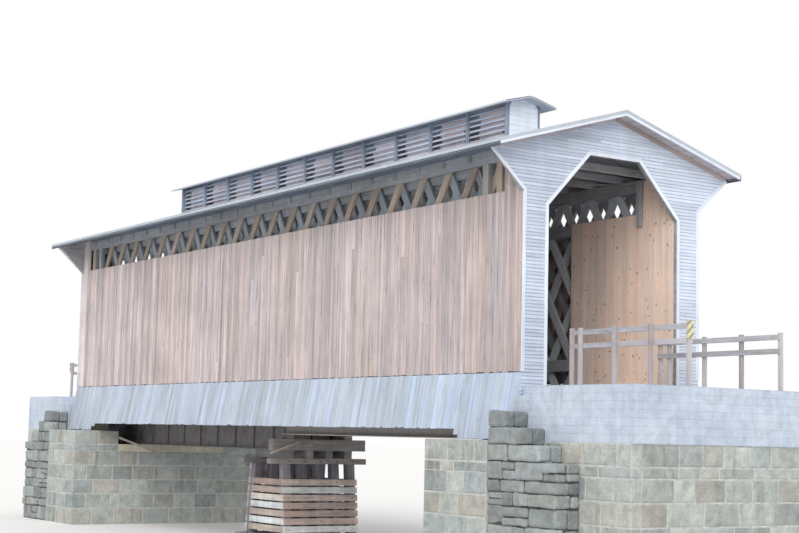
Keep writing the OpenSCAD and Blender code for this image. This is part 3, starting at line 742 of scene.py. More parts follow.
def weather_group():
    """Weathering over the whole bridge: large patches, vertical runs and fine dirt."""
    group, tree, given, out = new_group(
        "Weather", [("Vector", None)], ["Patch", "Run", "Dirt"]
    )
    vector = given["Vector"]
    tree.feed(out["Patch"], tree.remap(tree.noise(vector, 0.55, 3, 0.6), 0.3, 0.7))
    runs = tree.scale(vector, 4.5, 4.5, 0.28)
    tree.feed(out["Run"], tree.remap(tree.noise(runs, 1, 3, 0.6), 0.32, 0.7))
    tree.feed(out["Dirt"], tree.remap(tree.noise(vector, 6, 5, 0.7), 0.35, 0.7))
    return group


def stone_group():
    """Surface of stone and concrete: clouds, speckles and pits."""
    group, tree, given, out = new_group(
        "Stone surface", [("Vector", None), ("Size", 1.0)], ["Cloud", "Speckle", "Pit"]
    )
    sized = tree.scale(given["Vector"], given["Size"], given["Size"], given["Size"])
    tree.feed(out["Cloud"], tree.remap(tree.noise(sized, 3, 4, 0.62, 0.5), 0.3, 0.7))
    tree.feed(out["Speckle"], tree.remap(tree.noise(sized, 26, 3, 0.7), 0.3, 0.7))
    pits = tree.cells(sized, 17).outputs["Distance"]
    tree.feed(out["Pit"], tree.remap(pits, 0.05, 0.4, 1, 0))
    return group


def rust_group():
    """Rust on painted steel: blotches and thin vertical runs."""
    group, tree, given, out = new_group("Rust", [("Vector", None)], ["Blotch", "Run"])
    vector = given["Vector"]
    tree.feed(out["Blotch"], tree.remap(tree.noise(vector, 2.2, 6, 0.68, 0.6), 0.48, 0.66))
    runs = tree.scale(vector, 9, 9, 0.6)
    tree.feed(out["Run"], tree.remap(tree.noise(runs, 1, 4, 0.6), 0.5, 0.7))
    return group


GROUP_MAKERS = {
    "grain": grain_group, "knots": knot_group, "weather": weather_group,
    "stone": stone_group, "rust": rust_group,
}
groups = {}
finishes = {}


def effect(key):
    """Shared node group, built once."""
    if key not in groups:
        groups[key] = GROUP_MAKERS[key]()
    return groups[key]


def shade(base, r=1.0, g=None, b=None):
    """Colour lighter, darker or shifted."""
    g = r if g is None else g
    b = r if b is None else b
    return tuple(min(0.95, c * k) for c, k in zip(base, (r, g, b)))


def start_finish(name):
    """Empty material with a Principled shader, and its tree."""
    made = bpy.data.materials.new(name)
    made.use_nodes = True
    return made, Tree(made.node_tree)


def place(tree, axis):
    """Grain direction of a board, or a position with its grain along an axis."""
    if axis is None:
        return tree.own("grain", "Vector")
    at = tree.position()
    if axis == "x":
        return at
    turned = tree.node("ShaderNodeCombineXYZ")
    parts = tree.parts(at)
    for socket, k in zip(turned.inputs, (1, 0, 2)):
        tree.feed(socket, parts[k])
    return turned.outputs[0]


def end_finish(made, tree, skin, dull, gloss, height, dent, depth):
    """Colour, roughness and bump that every finish ends with."""
    shader = made.node_tree.nodes["Principled BSDF"]
    tree.feed(shader.inputs["Base Color"], skin)
    tree.feed(shader.inputs["Roughness"], dull)
    shader.inputs["Specular IOR Level"].default_value = gloss
    bump = tree.node("ShaderNodeBump")
    bump.inputs["Strength"].default_value = dent
    bump.inputs["Distance"].default_value = depth
    tree.feed(bump.inputs["Height"], height)
    tree.feed(shader.inputs["Normal"], bump.outputs[0])
    return made


def timber(name, stops, axis=None, along=0.7, across=16.0, tone=0.16, streak=0.22,
           fibre=0.1, crack=0.55, knots=0.0, knot_size=1.0, knot_colour=(0.06, 0.04, 0.03),
           patch=0.12, run=0.1, rough=0.82, bump=0.006, faint=0.25):
    """Weathered wood. The stops are the colours between which the boards' hues lie."""
    made, tree = start_finish(name)
    vector = place(tree, axis)
    grain = tree.group(effect("grain"), Vector=vector, Along=along, Across=across)
    weather = tree.group(effect("weather"), Vector=tree.position())
    if axis is None:
        own_tone, own_hue = tree.own("tone"), tree.own("hue")
    else:
        own_tone, own_hue = weather["Patch"], grain["Streak"]
    level = tree.times(
        tree.swing(own_tone, tone), tree.swing(grain["Streak"], streak),
        tree.swing(grain["Fibre"], fibre), tree.swing(weather["Patch"], patch),
        tree.swing(weather["Run"], run),
    )
    faded = tree.node("ShaderNodeHueSaturation")
    tree.feed(faded.inputs["Saturation"], tree.swing(weather["Run"], faint))
    tree.feed(faded.inputs["Color"], tree.mix(1.0, tree.ramp(own_hue, stops), level, "MULTIPLY"))
    skin = faded.outputs[0]
    height = tree.math("ADD", tree.times(grain["Fibre"], 0.5), tree.times(grain["Streak"], 0.5))
    if knots:
        knot = tree.group(effect("knots"), Vector=vector, Share=knots, Size=knot_size)
        skin = tree.mix(1.0, skin, tree.remap(knot["Ring"], -1, 1, 0.88, 1.12), "MULTIPLY")
        skin = tree.mix(tree.times(knot["Knot"], 0.85), skin, knot_colour)
        height = tree.math("SUBTRACT", height, tree.times(knot["Knot"], 0.6))
    split = tree.times(grain["Crack"], crack)
    skin = tree.mix(split, skin, shade(stops[0][1], 0.28))
    height = tree.math("SUBTRACT", height, split)
    dull = tree.remap(grain["Streak"], 0, 1, rough + 0.08, rough - 0.06)
    return end_finish(made, tree, skin, dull, 0.25, height, 0.6, bump)


def masonry(name, stops, size=1.0, tone=0.2, cloud=0.22, speckle=0.12, stain=0.5,
            stain_colour=(0.12, 0.1, 0.07), rough=0.9, bump=0.02, lines=0.0, own=True):
    """Stone or concrete with clouds, speckles, pits and stains."""
    made, tree = start_finish(name)
    at = tree.position()
    vector = tree.own("grain", "Vector") if own else at
    stone = tree.group(effect("stone"), Vector=vector, Size=size)
    weather = tree.group(effect("weather"), Vector=at)
    own_hue = tree.own("hue") if own else weather["Patch"]
    own_tone = tree.own("tone") if own else weather["Run"]
    level = tree.times(
        tree.swing(own_tone, tone), tree.swing(stone["Cloud"], cloud),
        tree.swing(stone["Speckle"], speckle),
    )
    skin = tree.mix(1.0, tree.ramp(own_hue, stops), level, "MULTIPLY")
    mark = tree.remap(tree.times(weather["Run"], weather["Patch"]), 0.35, 0.8)
    skin = tree.mix(tree.times(mark, stain), skin, stain_colour)
    height = tree.math("ADD", stone["Cloud"], tree.times(stone["Speckle"], 0.35))
    height = tree.math("SUBTRACT", height, tree.times(stone["Pit"], 0.5))
    if lines:
        seam = tree.bands(tree.parts(at)[2], lines, 0.46, 0.5)
        height = tree.math("ADD", height, tree.times(seam, 0.8))
        skin = tree.mix(tree.times(seam, 0.22), skin, shade(stops[0][1], 0.55))
    dull = tree.remap(stone["Speckle"], 0, 1, rough + 0.06, rough - 0.08)
    return end_finish(made, tree, skin, dull, 0.3, height, 0.7, bump)


def metal(name, stops, rust_colour, rust, run, rough):
    """Painted or galvanised metal with blotches and runs of rust."""
    made, tree = start_finish(name)
    at = tree.position()
    marks = tree.group(effect("rust"), Vector=at)
    weather = tree.group(effect("weather"), Vector=at)
    level = tree.times(
        tree.remap(weather["Patch"], 0, 1, 0.9, 1.08),
        tree.remap(weather["Dirt"], 0, 1, 0.94, 1.05),
    )
    skin = tree.mix(1.0, stops[0][1], level, "MULTIPLY")
    cover = tree.math("MAXIMUM", tree.times(marks["Blotch"], rust), tree.times(marks["Run"], run))
    skin = tree.mix(cover, skin, rust_colour)
    dull = tree.remap(cover, 0, 0.5, rough, 0.92)
    height = tree.math("ADD", cover, tree.times(weather["Dirt"], 0.4))
    return end_finish(made, tree, skin, dull, 0.4, height, 0.5, 0.002)


def stripes(name, stops):
    """Diagonal stripes in two faded colours, chipped at places."""
    made, tree = start_finish(name)
    at = tree.position()
    parts = tree.parts(at)
    slope = tree.math("ADD", parts[2], tree.times(parts[1], -1.0))
    second = tree.bands(slope, 0.2, 0.24, 0.26)
    skin = tree.mix(second, stops[0][1], stops[1][1])
    marks = tree.group(effect("rust"), Vector=tree.scale(at, 5, 5, 5))
    chips = tree.times(marks["Blotch"], 0.5)
    skin = tree.mix(chips, skin, srgb(150, 140, 126))
    dull = tree.remap(chips, 0, 0.5, 0.45, 0.8)
    height = tree.math("SUBTRACT", 1.0, chips)
    return end_finish(made, tree, skin, dull, 0.5, height, 1.0, 0.0006)


def tints(base, steps, places=None):
    """Colour stops from factors on one base colour, evenly placed or at given places."""
    places = places or [i / max(1, len(steps) - 1) for i in range(len(steps))]
    return [(place, shade(base, *step)) for place, step in zip(places, steps)]


PLAIN = (1, 1, 1)
# Timber in the roof space and under the floor: the wood's own colour, lightened and shifted to
# blue as painted haze light in the shade there
TIMBER_WITH_PAINTED_HAZE = ((1.35, 1.52, 1.7), (1.5, 1.62, 1.76), (1.6, 1.62, 1.66))

# Each finish has its maker, its name, its colour, factors on that colour, and settings.
# Those on PLAIN are colours of their own. The last one may also give the colours' places.
FINISHES = {
    "siding": (timber, "Siding boards", "siding", (
        (0.8, 0.79, 0.8), (0.96, 0.96, 0.98), (1.01, 0.96, 0.93), (1.04, 0.955, 0.9),
        (1.08, 1.08, 1.08),
    ), {"across": 34, "streak": 0.24, "tone": 0.16, "patch": 0.1, "run": 0.16, "crack": 0.8,
        "knots": 0.12, "knot_colour": srgb(112, 90, 84)}),
    "skirt": (timber, "Skirt boards", "skirt", (
        (0.9, 0.88, 0.86), (0.98, 0.97, 0.96), (1.05, 1.03, 1.01), (1.01, 1.04, 1.08),
        (1.1, 1.17, 1.28),
    ), {"across": 26, "streak": 0.16, "tone": 0.08, "patch": 0.06, "run": 0.1, "crack": 0.6,
        "faint": 0.15}),
    "clapboard": (timber, "Clapboards", "clapboard", (
        (0.84, 0.84, 0.85), (0.93, 0.93, 0.93), (1.0, 1.0, 1.0), (1.04, 1.03, 1.01),
    ), {"across": 26, "streak": 0.12, "tone": 0.06, "patch": 0.06, "run": 0.06, "crack": 0.4,
        "faint": 0.1}),
    "trim": (timber, "Trim boards", "trim", (
        (0.94, 0.94, 0.95), (1.0, 1.0, 1.0), (1.04, 1.03, 1.02),
    ), {"across": 24, "streak": 0.1, "tone": 0.06, "patch": 0.06, "run": 0.06, "crack": 0.3,
        "faint": 0.1}),
    "lining": (timber, "Lining boards", "lining", (
        (0.88, 0.88, 0.9), (0.98, 0.97, 0.97), (1.04, 1.0, 0.96), (1.1, 1.0, 0.92),
    ), {"across": 30, "streak": 0.1, "tone": 0.06, "patch": 0.06, "crack": 0.25,
        "knots": 0.45, "knot_size": 2.2, "knot_colour": srgb(176, 140, 122)}),
    # Truss plank colours run from blue and darker, painted shade for the planks behind, to warm
    # and light, painted sunlight for the front planks
    "truss": (timber, "Truss planks", "timber", (
        (1.15, 1.4, 1.66), (1.3, 1.48, 1.68), (1.26, 1.36, 1.46), (1.45, 1.34, 1.2),
        (1.8, 1.56, 1.32),
    ), {"across": 20, "streak": 0.2, "tone": 0.14, "crack": 0.5, "patch": 0.1}),
    # Inner lattice planks: the same timber made about twice as light and bluer than the outer
    # planks, as painted light in the shade inside
    "inner": (timber, "Inner truss planks", "timber", (
        (2.1, 2.5, 2.8), (2.3, 2.6, 2.85), (2.2, 2.35, 2.5),
    ), {"across": 20, "streak": 0.14, "tone": 0.1, "crack": 0.4, "patch": 0.08}),
    "dark": (timber, "Dark timber", "timber", TIMBER_WITH_PAINTED_HAZE, {
        "across": 14, "streak": 0.2, "tone": 0.12, "crack": 0.5}),
    "ridge": (timber, "Ridge timber", "timber", TIMBER_WITH_PAINTED_HAZE, {
        "axis": "x", "across": 9, "streak": 0.2, "patch": 0.1, "crack": 0.4}),
    "deck": (timber, "Floor planks", "timber", (
        (1.8, 1.8, 1.8), (2.1, 2.05, 2.0), (2.4, 2.3, 2.2),
    ), {"across": 14, "streak": 0.18, "tone": 0.14, "crack": 0.5}),
    "sheathing": (timber, "Portal sheathing", "timber", (
        (1.2, 1.32, 1.44), (1.34, 1.42, 1.52), (1.5, 1.52, 1.56),
    ), {"axis": "y", "across": 10, "streak": 0.2, "patch": 0.1, "crack": 0.4}),
    "pier": (timber, "Pier timber", "pier", (
        (0.82, 0.8, 0.84), (1.0, 0.98, 1.02), (1.12, 1.08, 1.05),
    ), {"across": 12, "streak": 0.24, "tone": 0.14, "crack": 0.7, "patch": 0.16, "run": 0.2}),
    "cap": (timber, "Pier caps", "timber", (
        (0.9, 0.95, 1.0), (1.06, 1.08, 1.12), (1.2, 1.18, 1.18),
    ), {"across": 12, "streak": 0.2, "tone": 0.1, "crack": 0.5}),
    "slat": (timber, "Pier slats", "slat", (
        (0.9, 1.02, 1.1), (0.86, 0.94, 0.96), (0.78, 0.8, 0.78), (0.7, 0.65, 0.61),
        (0.65, 0.56, 0.53), (0.57, 0.47, 0.44),
    ), {"across": 14, "streak": 0.2, "tone": 0.08, "crack": 0.5, "patch": 0.14, "run": 0.16}),
    "bearing": (timber, "Bearing timber", PLAIN, (
        srgb(206, 204, 190), srgb(216, 210, 192), srgb(222, 212, 192),
    ), {"across": 12, "streak": 0.14, "tone": 0.06, "crack": 0.4}),
    "rail": (timber, "Railing timber", "rail", (
        (0.9, 0.92, 0.95), (1.0, 1.0, 1.0), (1.1, 1.08, 1.04), (0.95, 0.82, 0.78),
    ), {"across": 20, "streak": 0.16, "tone": 0.1, "crack": 0.5}),
    "louver": (timber, "Louver boards", "skirt", (
        (1.12, 1.14, 1.18), (1.28, 1.27, 1.28), (1.42, 1.36, 1.32),
    ), {"across": 22, "streak": 0.2, "tone": 0.14, "crack": 0.4}),
    "cupola_post": (timber, "Cupola posts", "skirt", (
        (0.54, 0.58, 0.62), (0.6, 0.63, 0.66), (0.68, 0.68, 0.68),
    ), {"across": 22, "streak": 0.16, "tone": 0.1, "crack": 0.4}),
    "backing": (timber, "Boards behind the louvers", "siding", (
        (0.95, 0.95, 1.02), (1.2, 1.15, 1.17), (1.5, 1.38, 1.32),
    ), {"across": 20, "streak": 0.16, "tone": 0.12, "crack": 0.4}),
    # Wall plates: the skirt's grey wood darkened to about half, as painted shade under the eaves
    "plate": (timber, "Wall plates", "skirt", (
        (0.42, 0.44, 0.47), (0.48, 0.49, 0.5), (0.56, 0.54, 0.53),
    ), {"across": 16, "streak": 0.2, "tone": 0.1, "crack": 0.4}),
    # Soffit boards and eave edge strips: the skirt's grey wood darkened to about three fifths, as
    # painted shade under the eaves
    "soffit": (timber, "Soffit boards", "skirt", (
        (0.5, 0.52, 0.55), (0.58, 0.59, 0.61), (0.68, 0.67, 0.66),
    ), {"across": 14, "streak": 0.2, "patch": 0.1, "crack": 0.4}),
    # Fascia boards: the skirt's grey wood darkened to about a fifth, as painted shade under the
    # eaves
    "fascia": (timber, "Fascia boards", "skirt", (
        (0.17, 0.18, 0.19), (0.2, 0.2, 0.21), (0.24, 0.23, 0.23),
    ), {"across": 14, "streak": 0.2, "patch": 0.1, "crack": 0.4}),
    "rake": (timber, "Rake boards", PLAIN, (
        srgb(190, 186, 192), srgb(194, 186, 188), srgb(184, 172, 170), srgb(184, 168, 162),
    ), {"across": 18, "streak": 0.16, "tone": 0.08, "patch": 0.08, "run": 0.06, "crack": 0.4},
        (0.0, 0.4, 0.7, 1.0)),
    "roof": (metal, "Roof sheets", "roof", (PLAIN,), {
        "rust_colour": srgb(170, 150, 136), "rust": 0.25, "run": 0.2, "rough": 0.5}),
    "steel": (metal, "Girder steel", "steel", (PLAIN,), {
        "rust_colour": srgb(104, 72, 56), "rust": 0.55, "run": 0.45, "rough": 0.7}),
    "pale_steel": (metal, "Faded girder steel", "steel", ((1.9, 1.85, 1.8),), {
        "rust_colour": srgb(150, 116, 98), "rust": 0.4, "run": 0.35, "rough": 0.7}),
    "iron": (metal, "Iron fastenings", PLAIN, (srgb(86, 76, 72),), {
        "rust_colour": srgb(110, 72, 54), "rust": 0.6, "run": 0.3, "rough": 0.7}),
    "stone": (masonry, "Squared stone", "stone", (
        (0.84, 0.88, 0.92), (0.94, 0.96, 0.95), (1.0, 1.0, 0.96), (1.08, 1.08, 1.06),
        (1.04, 0.95, 0.88),
    ), {"tone": 0.14, "speckle": 0.16}),
    "mortar": (masonry, "Mortar", "mortar", (
        (0.9, 0.9, 0.9), (1.0, 1.0, 1.0), (1.06, 1.06, 1.04),
    ), {"tone": 0.08, "own": False, "size": 2, "stain": 0.2}),
    "rubble": (masonry, "Rubble stone", "rubble", (
        (0.8, 0.82, 0.82), (0.92, 0.92, 0.92), (1.0, 1.0, 1.0), (1.16, 1.16, 1.16),
        (1.04, 1.0, 0.95),
    ), {"tone": 0.2, "rough": 0.92}),
    "gaps": (masonry, "Rubble gaps", "rubble", (
        (0.26, 0.26, 0.25), (0.36, 0.35, 0.33),
    ), {"own": False, "stain": 0.2}),
    "concrete": (masonry, "Concrete", "concrete", (
        (0.86, 0.88, 0.9), (1.0, 1.0, 1.0), (1.06, 1.06, 1.04),
    ), {"own": False, "tone": 0.08, "cloud": 0.12, "speckle": 0.08, "stain": 0.35,
        "lines": 0.2, "bump": 0.008, "stain_colour": srgb(120, 118, 112)}),
    "marker": (stripes, "Marker stripes", PLAIN, (srgb(232, 220, 160), srgb(158, 154, 142)), {}),
}


def finish(key):
    """Finish of one kind of piece, in the colours that the user has set, built once."""
    if key not in finishes:
        make, name, base, steps, settings, *places = FINISHES[key]
        if isinstance(base, str):
            base = getattr(bpy.context.scene.bridge_colours, base)
        finishes[key] = make(name, tints(base, steps, *places), **settings)
    return finishes[key]


def coat(node, key):
    """Gives a frame node that stays in view its finish."""
    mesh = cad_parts[node].data
    mesh.materials.clear()
    mesh.materials.append(finish(key))


# ---- side boards


def side_boards(work, sizes):
    """Vertical boards on the back side, from the foot to the open strip or the eaves."""
    back = SIDE_Y - 0.06
    rng = work.random
    corner = HALF_LEN - 0.2
    widths = sizes.board_min, sizes.board_max
    marks = [-HALF_LEN] + splits(rng, -corner, -PANEL_X, *widths)
    marks += splits(rng, -PANEL_X, PANEL_X, *widths)[1:]
    marks += splits(rng, PANEL_X, corner, *widths)[1:] + [HALF_LEN]
    for a, b in parts_of(marks):
        gap = rng.uniform(0.002, 0.007)
        panel = abs(a + b) / 2 > PANEL_X
        top = soffit_under(SIDE_Y) - 0.01 if panel else STRIP_Z - rng.uniform(0, 0.015)
        foot = FOOT + rng.uniform(-0.012, 0.012)
        tone, hue = rng.random() * (1 - max(0.0, a + b) / 45), rng.random()
        if a > PANEL_X - 0.01:
            hue = min(1.0, hue * 0.35 + 0.5)
        if b < -HALF_LEN + 0.66:
            tone, hue = 1.0, 0.96
        if abs(a + b) / 2 > corner:
            # the corner board also covers the edge of the portal wall up to its flare
            s = 1 if a > 0 else -1
            outline = [Vector((s * x, back, z)) for x, z in (
                (corner + gap, foot), (HALF_LEN, foot), (HALF_LEN, FLARE_Z),
                (WALL_END, FLARE_Z), (WALL_END, top), (corner + gap, top))]
            work.slab(outline, Y, 0.042, Z, 0.004, tone, hue)
            continue
        pieces = [(foot, top, tone, hue)]
        if not panel and rng.random() < 0.13:
            cut = FOOT + rng.choice((rng.uniform(0.4, 1.6), rng.uniform(3.2, 4.4)))
            pieces = [(foot, cut - 0.003, tone, hue),
                      (cut + 0.003, top, rng.random(), rng.random())]
        for z0, z1, tone, hue in pieces:
            thick = rng.uniform(0.034, 0.046)
            outline = quad(upright(back), a + gap, b - gap, z0, z1)
            work.slab(outline, Y, thick, Z, 0.004, tone, hue)
        if rng.random() < 0.12 and not panel:
            w = rng.uniform(0.022, 0.034)
            outline = quad(upright(back + 0.04), b - w, b + w, foot, top)
            work.slab(outline, Y, 0.019, Z, 0.004, rng.uniform(0.6, 1), rng.random())


def side_nails(work):
    """Rows of nail heads where the boards are fixed to the chords."""
    rng = work.random
    x = -WALL_END + 0.06
    while x < WALL_END:
        for z in (CHORD_LOW + ROW_H, CHORD_LOW + 3 * ROW_H, CHORD_LOW + 5 * ROW_H):
            if z < STRIP_Z:
                at = Vector((x, SIDE_Y - 0.018, z + rng.uniform(-0.05, 0.05)))
                work.stud(at, Y, 0.006, 0.003, 6)
        x += rng.uniform(0.08, 0.13)


class BRIDGE_OT_side_boards(bpy.types.Operator):
    """Builds the weathered vertical boards on both sides"""

    bl_idname = "bridge.side_boards"
    bl_label = "Side Boards"

    def execute(self, context):
        for side, number, flip in SIDES:
            work = built(10 + number, [flip], side_boards, context.scene.bridge_sizes)
            work.deliver(f"{side}_side_boards", "siding", "siding_boards", f"{side}_siding")
            nails = built(60 + number, [flip], side_nails)
            nails.deliver(f"{side}_side_nails", "iron", "siding_boards")
        return {"FINISHED"}


# ---- skirts


def skirt_boards(work, sizes):
    """Sloping boards of the back skirt, deeper over the abutments."""
    rng = work.random
    step = DEEP_SKIRT_X
    deep, shallow = CHEEK_Z + 0.02, FOOT - SKIRT_H
    run = step - (shallow - deep)
    widths = sizes.skirt_min, sizes.skirt_max
    marks = splits(rng, -HALF_LEN, -step, *widths)
    marks += splits(rng, -step, step, *widths)[1:]
    marks += splits(rng, step, HALF_LEN, *widths)[1:]
    for a, b in parts_of(marks):
        mid = abs(a + b) / 2
        foot = deep if mid > step else max(deep, min(shallow, shallow - (mid - run)))
        foot += rng.uniform(0.0, 0.014) if rng.random() < 0.85 else rng.uniform(0.02, 0.04)
        top = FOOT - 0.015 - rng.uniform(0, 0.012)
        gap = rng.uniform(0.001, 0.004)
        lift = rng.uniform(-0.008, 0.0)
        lean = rng.uniform(-0.012, 0.012)

        def at(x, z):
            return Vector((x, skirt_y(z) - SKIRT_T + lift, z))

        outline = [at(a + gap + lean, foot), at(b - gap + lean, foot),
                   at(b - gap, top), at(a + gap, top)]
        outward = (outline[1] - outline[0]).cross(outline[3] - outline[0]).normalized()
        if outward.y < 0:
            outward = -outward
        down = (outline[3] - outline[0]).normalized()
        near = max(0.0, min(1.0, (a + b) / 18 - 0.6))
        hue = rng.random() * (0.8 - 0.2 * near) + 0.4 * near
        work.slab(outline, outward, rng.uniform(0.026, 0.036), down, 0.004, None, hue)
        if rng.random() < 0.1:
            cover = quad(at, b - 0.03, b + 0.03, foot, top)
            work.slab([p + outward * 0.034 for p in cover], outward, 0.012, down, 0.003)


class BRIDGE_OT_skirts(bpy.types.Operator):
    """Builds the flared skirts that hide the floor"""

    bl_idname = "bridge.skirts"
    bl_label = "Skirts"

    def execute(self, context):
        for side, number, flip in SIDES:
            work = built(20 + number, [flip], skirt_boards, context.scene.bridge_sizes)
            work.deliver(f"{side}_skirt_boards", "skirt", "skirt_boards", f"{side}_skirt")
        return {"FINISHED"}


# ---- portals


def portal_reach(z):
    """Inner and outer edge of the right half of a portal wall at a height."""
    if z < DOOR_SIDE_Z:
        inner = DOOR_HALF
    elif z < DOOR_HEAD_Z:
        share = (z - DOOR_SIDE_Z) / (DOOR_HEAD_Z - DOOR_SIDE_Z)
        inner = DOOR_HALF + (DOOR_HEAD_HALF - DOOR_HALF) * share
    else:
        inner = 0.0
    tip_z = roof_under(FLARE_TIP)
    if z < FOOT:
        outer = skirt_y(z) - SKIRT_T
    elif z < FLARE_Z:
        outer = SIDE_Y
    elif z < tip_z:
        outer = SIDE_Y + (FLARE_TIP - SIDE_Y) * (z - FLARE_Z) / (tip_z - FLARE_Z)
    else:
        outer = (roof_under(0) - z) / ROOF_SLOPE
    return inner, outer


def clapboards(work, exposure):
    """Lapped boards on the right portal wall."""
    rng = work.random
    face = HALF_LEN - 0.001
    top = roof_under(0) - 0.02
    kinks = [FOOT, DOOR_SIDE_Z, FLARE_Z, DOOR_HEAD_Z, roof_under(FLARE_TIP)]
    z = PORTAL_FOOT - 4 * exposure
    while z < top - 0.01:
        end = min(z + exposure, top)
        # a thin gap under each board shows as a dark line
        gap = z + rng.uniform(0.003, 0.009)
        levels = [gap] + [k for k in kinks if gap + 0.004 < k < end - 0.004] + [end]
        spans = [portal_reach(min(max(k, z + 0.001), end - 0.001)) for k in levels]
        if min(s[1] for s in spans) > 0.02 or z + exposure < top:
            whole = all(s[0] < 0.01 for s in spans)
            for side in ((1,) if whole else (1, -1)):
                near = [-s[1] if whole else side * s[0] for s in spans]
                ring = [Vector((face, y, k)) for y, k in zip(near, levels)][::-1]
                ring += [Vector((face, side * s[1], k)) for s, k in zip(spans, levels)]
                ys = [p.y for p in ring]
                for a, b in parts_of(splits(rng, min(ys), max(ys), 1.1, 3.4)):
                    part = clip(ring, Vector((face, a + BOARD_GAP, 0)), -Y)
                    part = tidy_ring(clip(part, Vector((face, b - BOARD_GAP, 0)), Y))
                    if not part:
                        continue
                    butt = rng.uniform(0.019, 0.023)
                    tilt = rng.uniform(-0.004, 0.004)

                    def thick(p, z=z, butt=butt, tilt=tilt, mid=(a + b) / 2):
                        share = (p.z - z) / exposure
                        return butt - 0.013 * share + tilt * (p.y - mid) * 0.2

                    # the boards are painted greyer and darker toward the front side and lighter
                    # toward the back, as painted shade and light
                    hue = 0.52 + 0.065 * (a + b) + rng.uniform(-0.3, 0.3)
                    work.slab(part, X, thick, Y, 0.002, None, min(1.0, max(0.0, hue)))
        z = end


def board_on(work, face, points, thick, along, tone=None, hue=None):
    """Flat board on a wall that faces +X, from points given as across and up."""
    ring = [Vector((face, y, z)) for y, z in points]
    work.slab(ring, X, thick, along, 0.004, tone, hue)


def sloping_board(work, face, s, a, b, top, bottom, thick, hue=None):
    """Board along the roof's slope, with its edges at two depths under the roof."""
    corners = (
        (a, PLANK_GAP, top), (b, -PLANK_GAP, top), (b, -PLANK_GAP, bottom),
        (a, PLANK_GAP, bottom),
    )
    points = [(s * (y + gap), roof_under(y) - drop) for y, gap, drop in corners]
    board_on(work, face, points, thick, Vector((0, s, -ROOF_SLOPE)), None, hue)


def portal_casings(work):
    """Casings, corner boards, flare boards and barge boards of the right end."""
    face = HALF_LEN
    tip_z = roof_under(FLARE_TIP)
    brow_z = roof_under(FLARE_TIP - TRIM_W) - TRIM_W
    slant = Vector((0, DOOR_HEAD_HALF - DOOR_HALF, DOOR_HEAD_Z - DOOR_SIDE_Z))
    cut_y = DOOR_HEAD_HALF + TRIM_W / 2
    shoulder = DOOR_SIDE_Z + TRIM_W / 3
    for s in (1, -1):
        board_on(work, face, [
            (s * DOOR_HALF, PORTAL_FOOT), (s * (DOOR_HALF + TRIM_W), PORTAL_FOOT),
            (s * (DOOR_HALF + TRIM_W), shoulder), (s * DOOR_HALF, DOOR_SIDE_Z),
        ], TRIM_T, Z)
        board_on(work, face, [
            (s * DOOR_HALF, DOOR_SIDE_Z + 0.002), (s * (DOOR_HALF + TRIM_W), shoulder + 0.002),
            (s * cut_y, DOOR_HEAD_Z + TRIM_W - 0.002), (s * DOOR_HEAD_HALF, DOOR_HEAD_Z - 0.002),
        ], TRIM_T - 0.002, Vector((0, s * slant.y, slant.z)))
        board_on(work, face, [
            (s * (SIDE_Y - TRIM_W), FOOT), (s * SIDE_Y, FOOT), (s * SIDE_Y, FLARE_Z),
            (s * (SIDE_Y - TRIM_W), FLARE_Z + TRIM_W / 3),
        ], TRIM_T - 0.002, Z)
        board_on(work, face, [
            (s * (SIDE_Y - TRIM_W), FLARE_Z + TRIM_W / 3 + 0.003), (s * SIDE_Y, FLARE_Z + 0.003),
            (s * FLARE_TIP, tip_z - TRIM_W), (s * (FLARE_TIP - TRIM_W), brow_z),
        ], TRIM_T, Vector((0, s * (FLARE_TIP - SIDE_Y), tip_z - FLARE_Z)))
    board_on(work, face, [
        (-DOOR_HEAD_HALF, DOOR_HEAD_Z), (DOOR_HEAD_HALF, DOOR_HEAD_Z),
        (cut_y, DOOR_HEAD_Z + TRIM_W), (-cut_y, DOOR_HEAD_Z + TRIM_W),
    ], TRIM_T, Y)
    for s in (1, -1):
        for a, b in parts_of([0, 1.55, 3.1, EAVE_Y - EDGE_T]):
            sloping_board(work, ROOF_END - EDGE_T, s, a, b, 0.001, BARGE_H, 0.048)


def rake_boards(work):
    """Boards under the roof's overhang at the right portal, and the friezes on its wall."""
    rng = work.random
    for s in (1, -1):
        down = Vector((0, -s * ROOF_SLOPE, -1)).normalized()
        for a, b in parts_of(splits(rng, 0.0, EAVE_Y - EDGE_T, 0.13, 0.19)):
            ring = quad(
                lambda y, x: Vector((x, s * y, roof_under(y) - 0.001)),
                a + PLANK_GAP, b - PLANK_GAP, HALF_LEN, ROOF_END - EDGE_T,
            )
            thick = 0.022 + rng.uniform(-0.002, 0.001)
            work.slab(ring, down, thick, X, 0.003, None, 0.45 * rng.random())
        for a, b in parts_of([0.0, 1.9, FLARE_TIP - 0.12]):
            hue = rng.uniform(0.85, 1.0) if s > 0 else rng.uniform(0.0, 0.15)
            sloping_board(work, HALF_LEN, s, a, b, 0.026, 0.15, 0.034, hue)


def lining_boards(work):
    """Upright boards that line the truss beside the right portal, on the back side."""
    rng = work.random
    marks = splits(rng, LINING_X, TALL_X, 0.13, 0.21)
    marks += splits(rng, TALL_X, WALL_END, 0.13, 0.21)[1:]
    for a, b in parts_of(marks):
        top = TRUSS_TOP - 0.05 if (a + b) / 2 > TALL_X else LINING_TOP
        ring = quad(upright(LINING_Y), a + BOARD_GAP, b - BOARD_GAP, DECK_TOP, top)
        share = (a - LINING_X) / (WALL_END - LINING_X)
        hue = min(1.0, max(0.0, 0.25 + 0.5 * share + rng.uniform(-0.2, 0.2)))
        work.slab(ring, -Y, 0.027 + rng.uniform(-0.002, 0.003), Z, 0.002, None, hue)


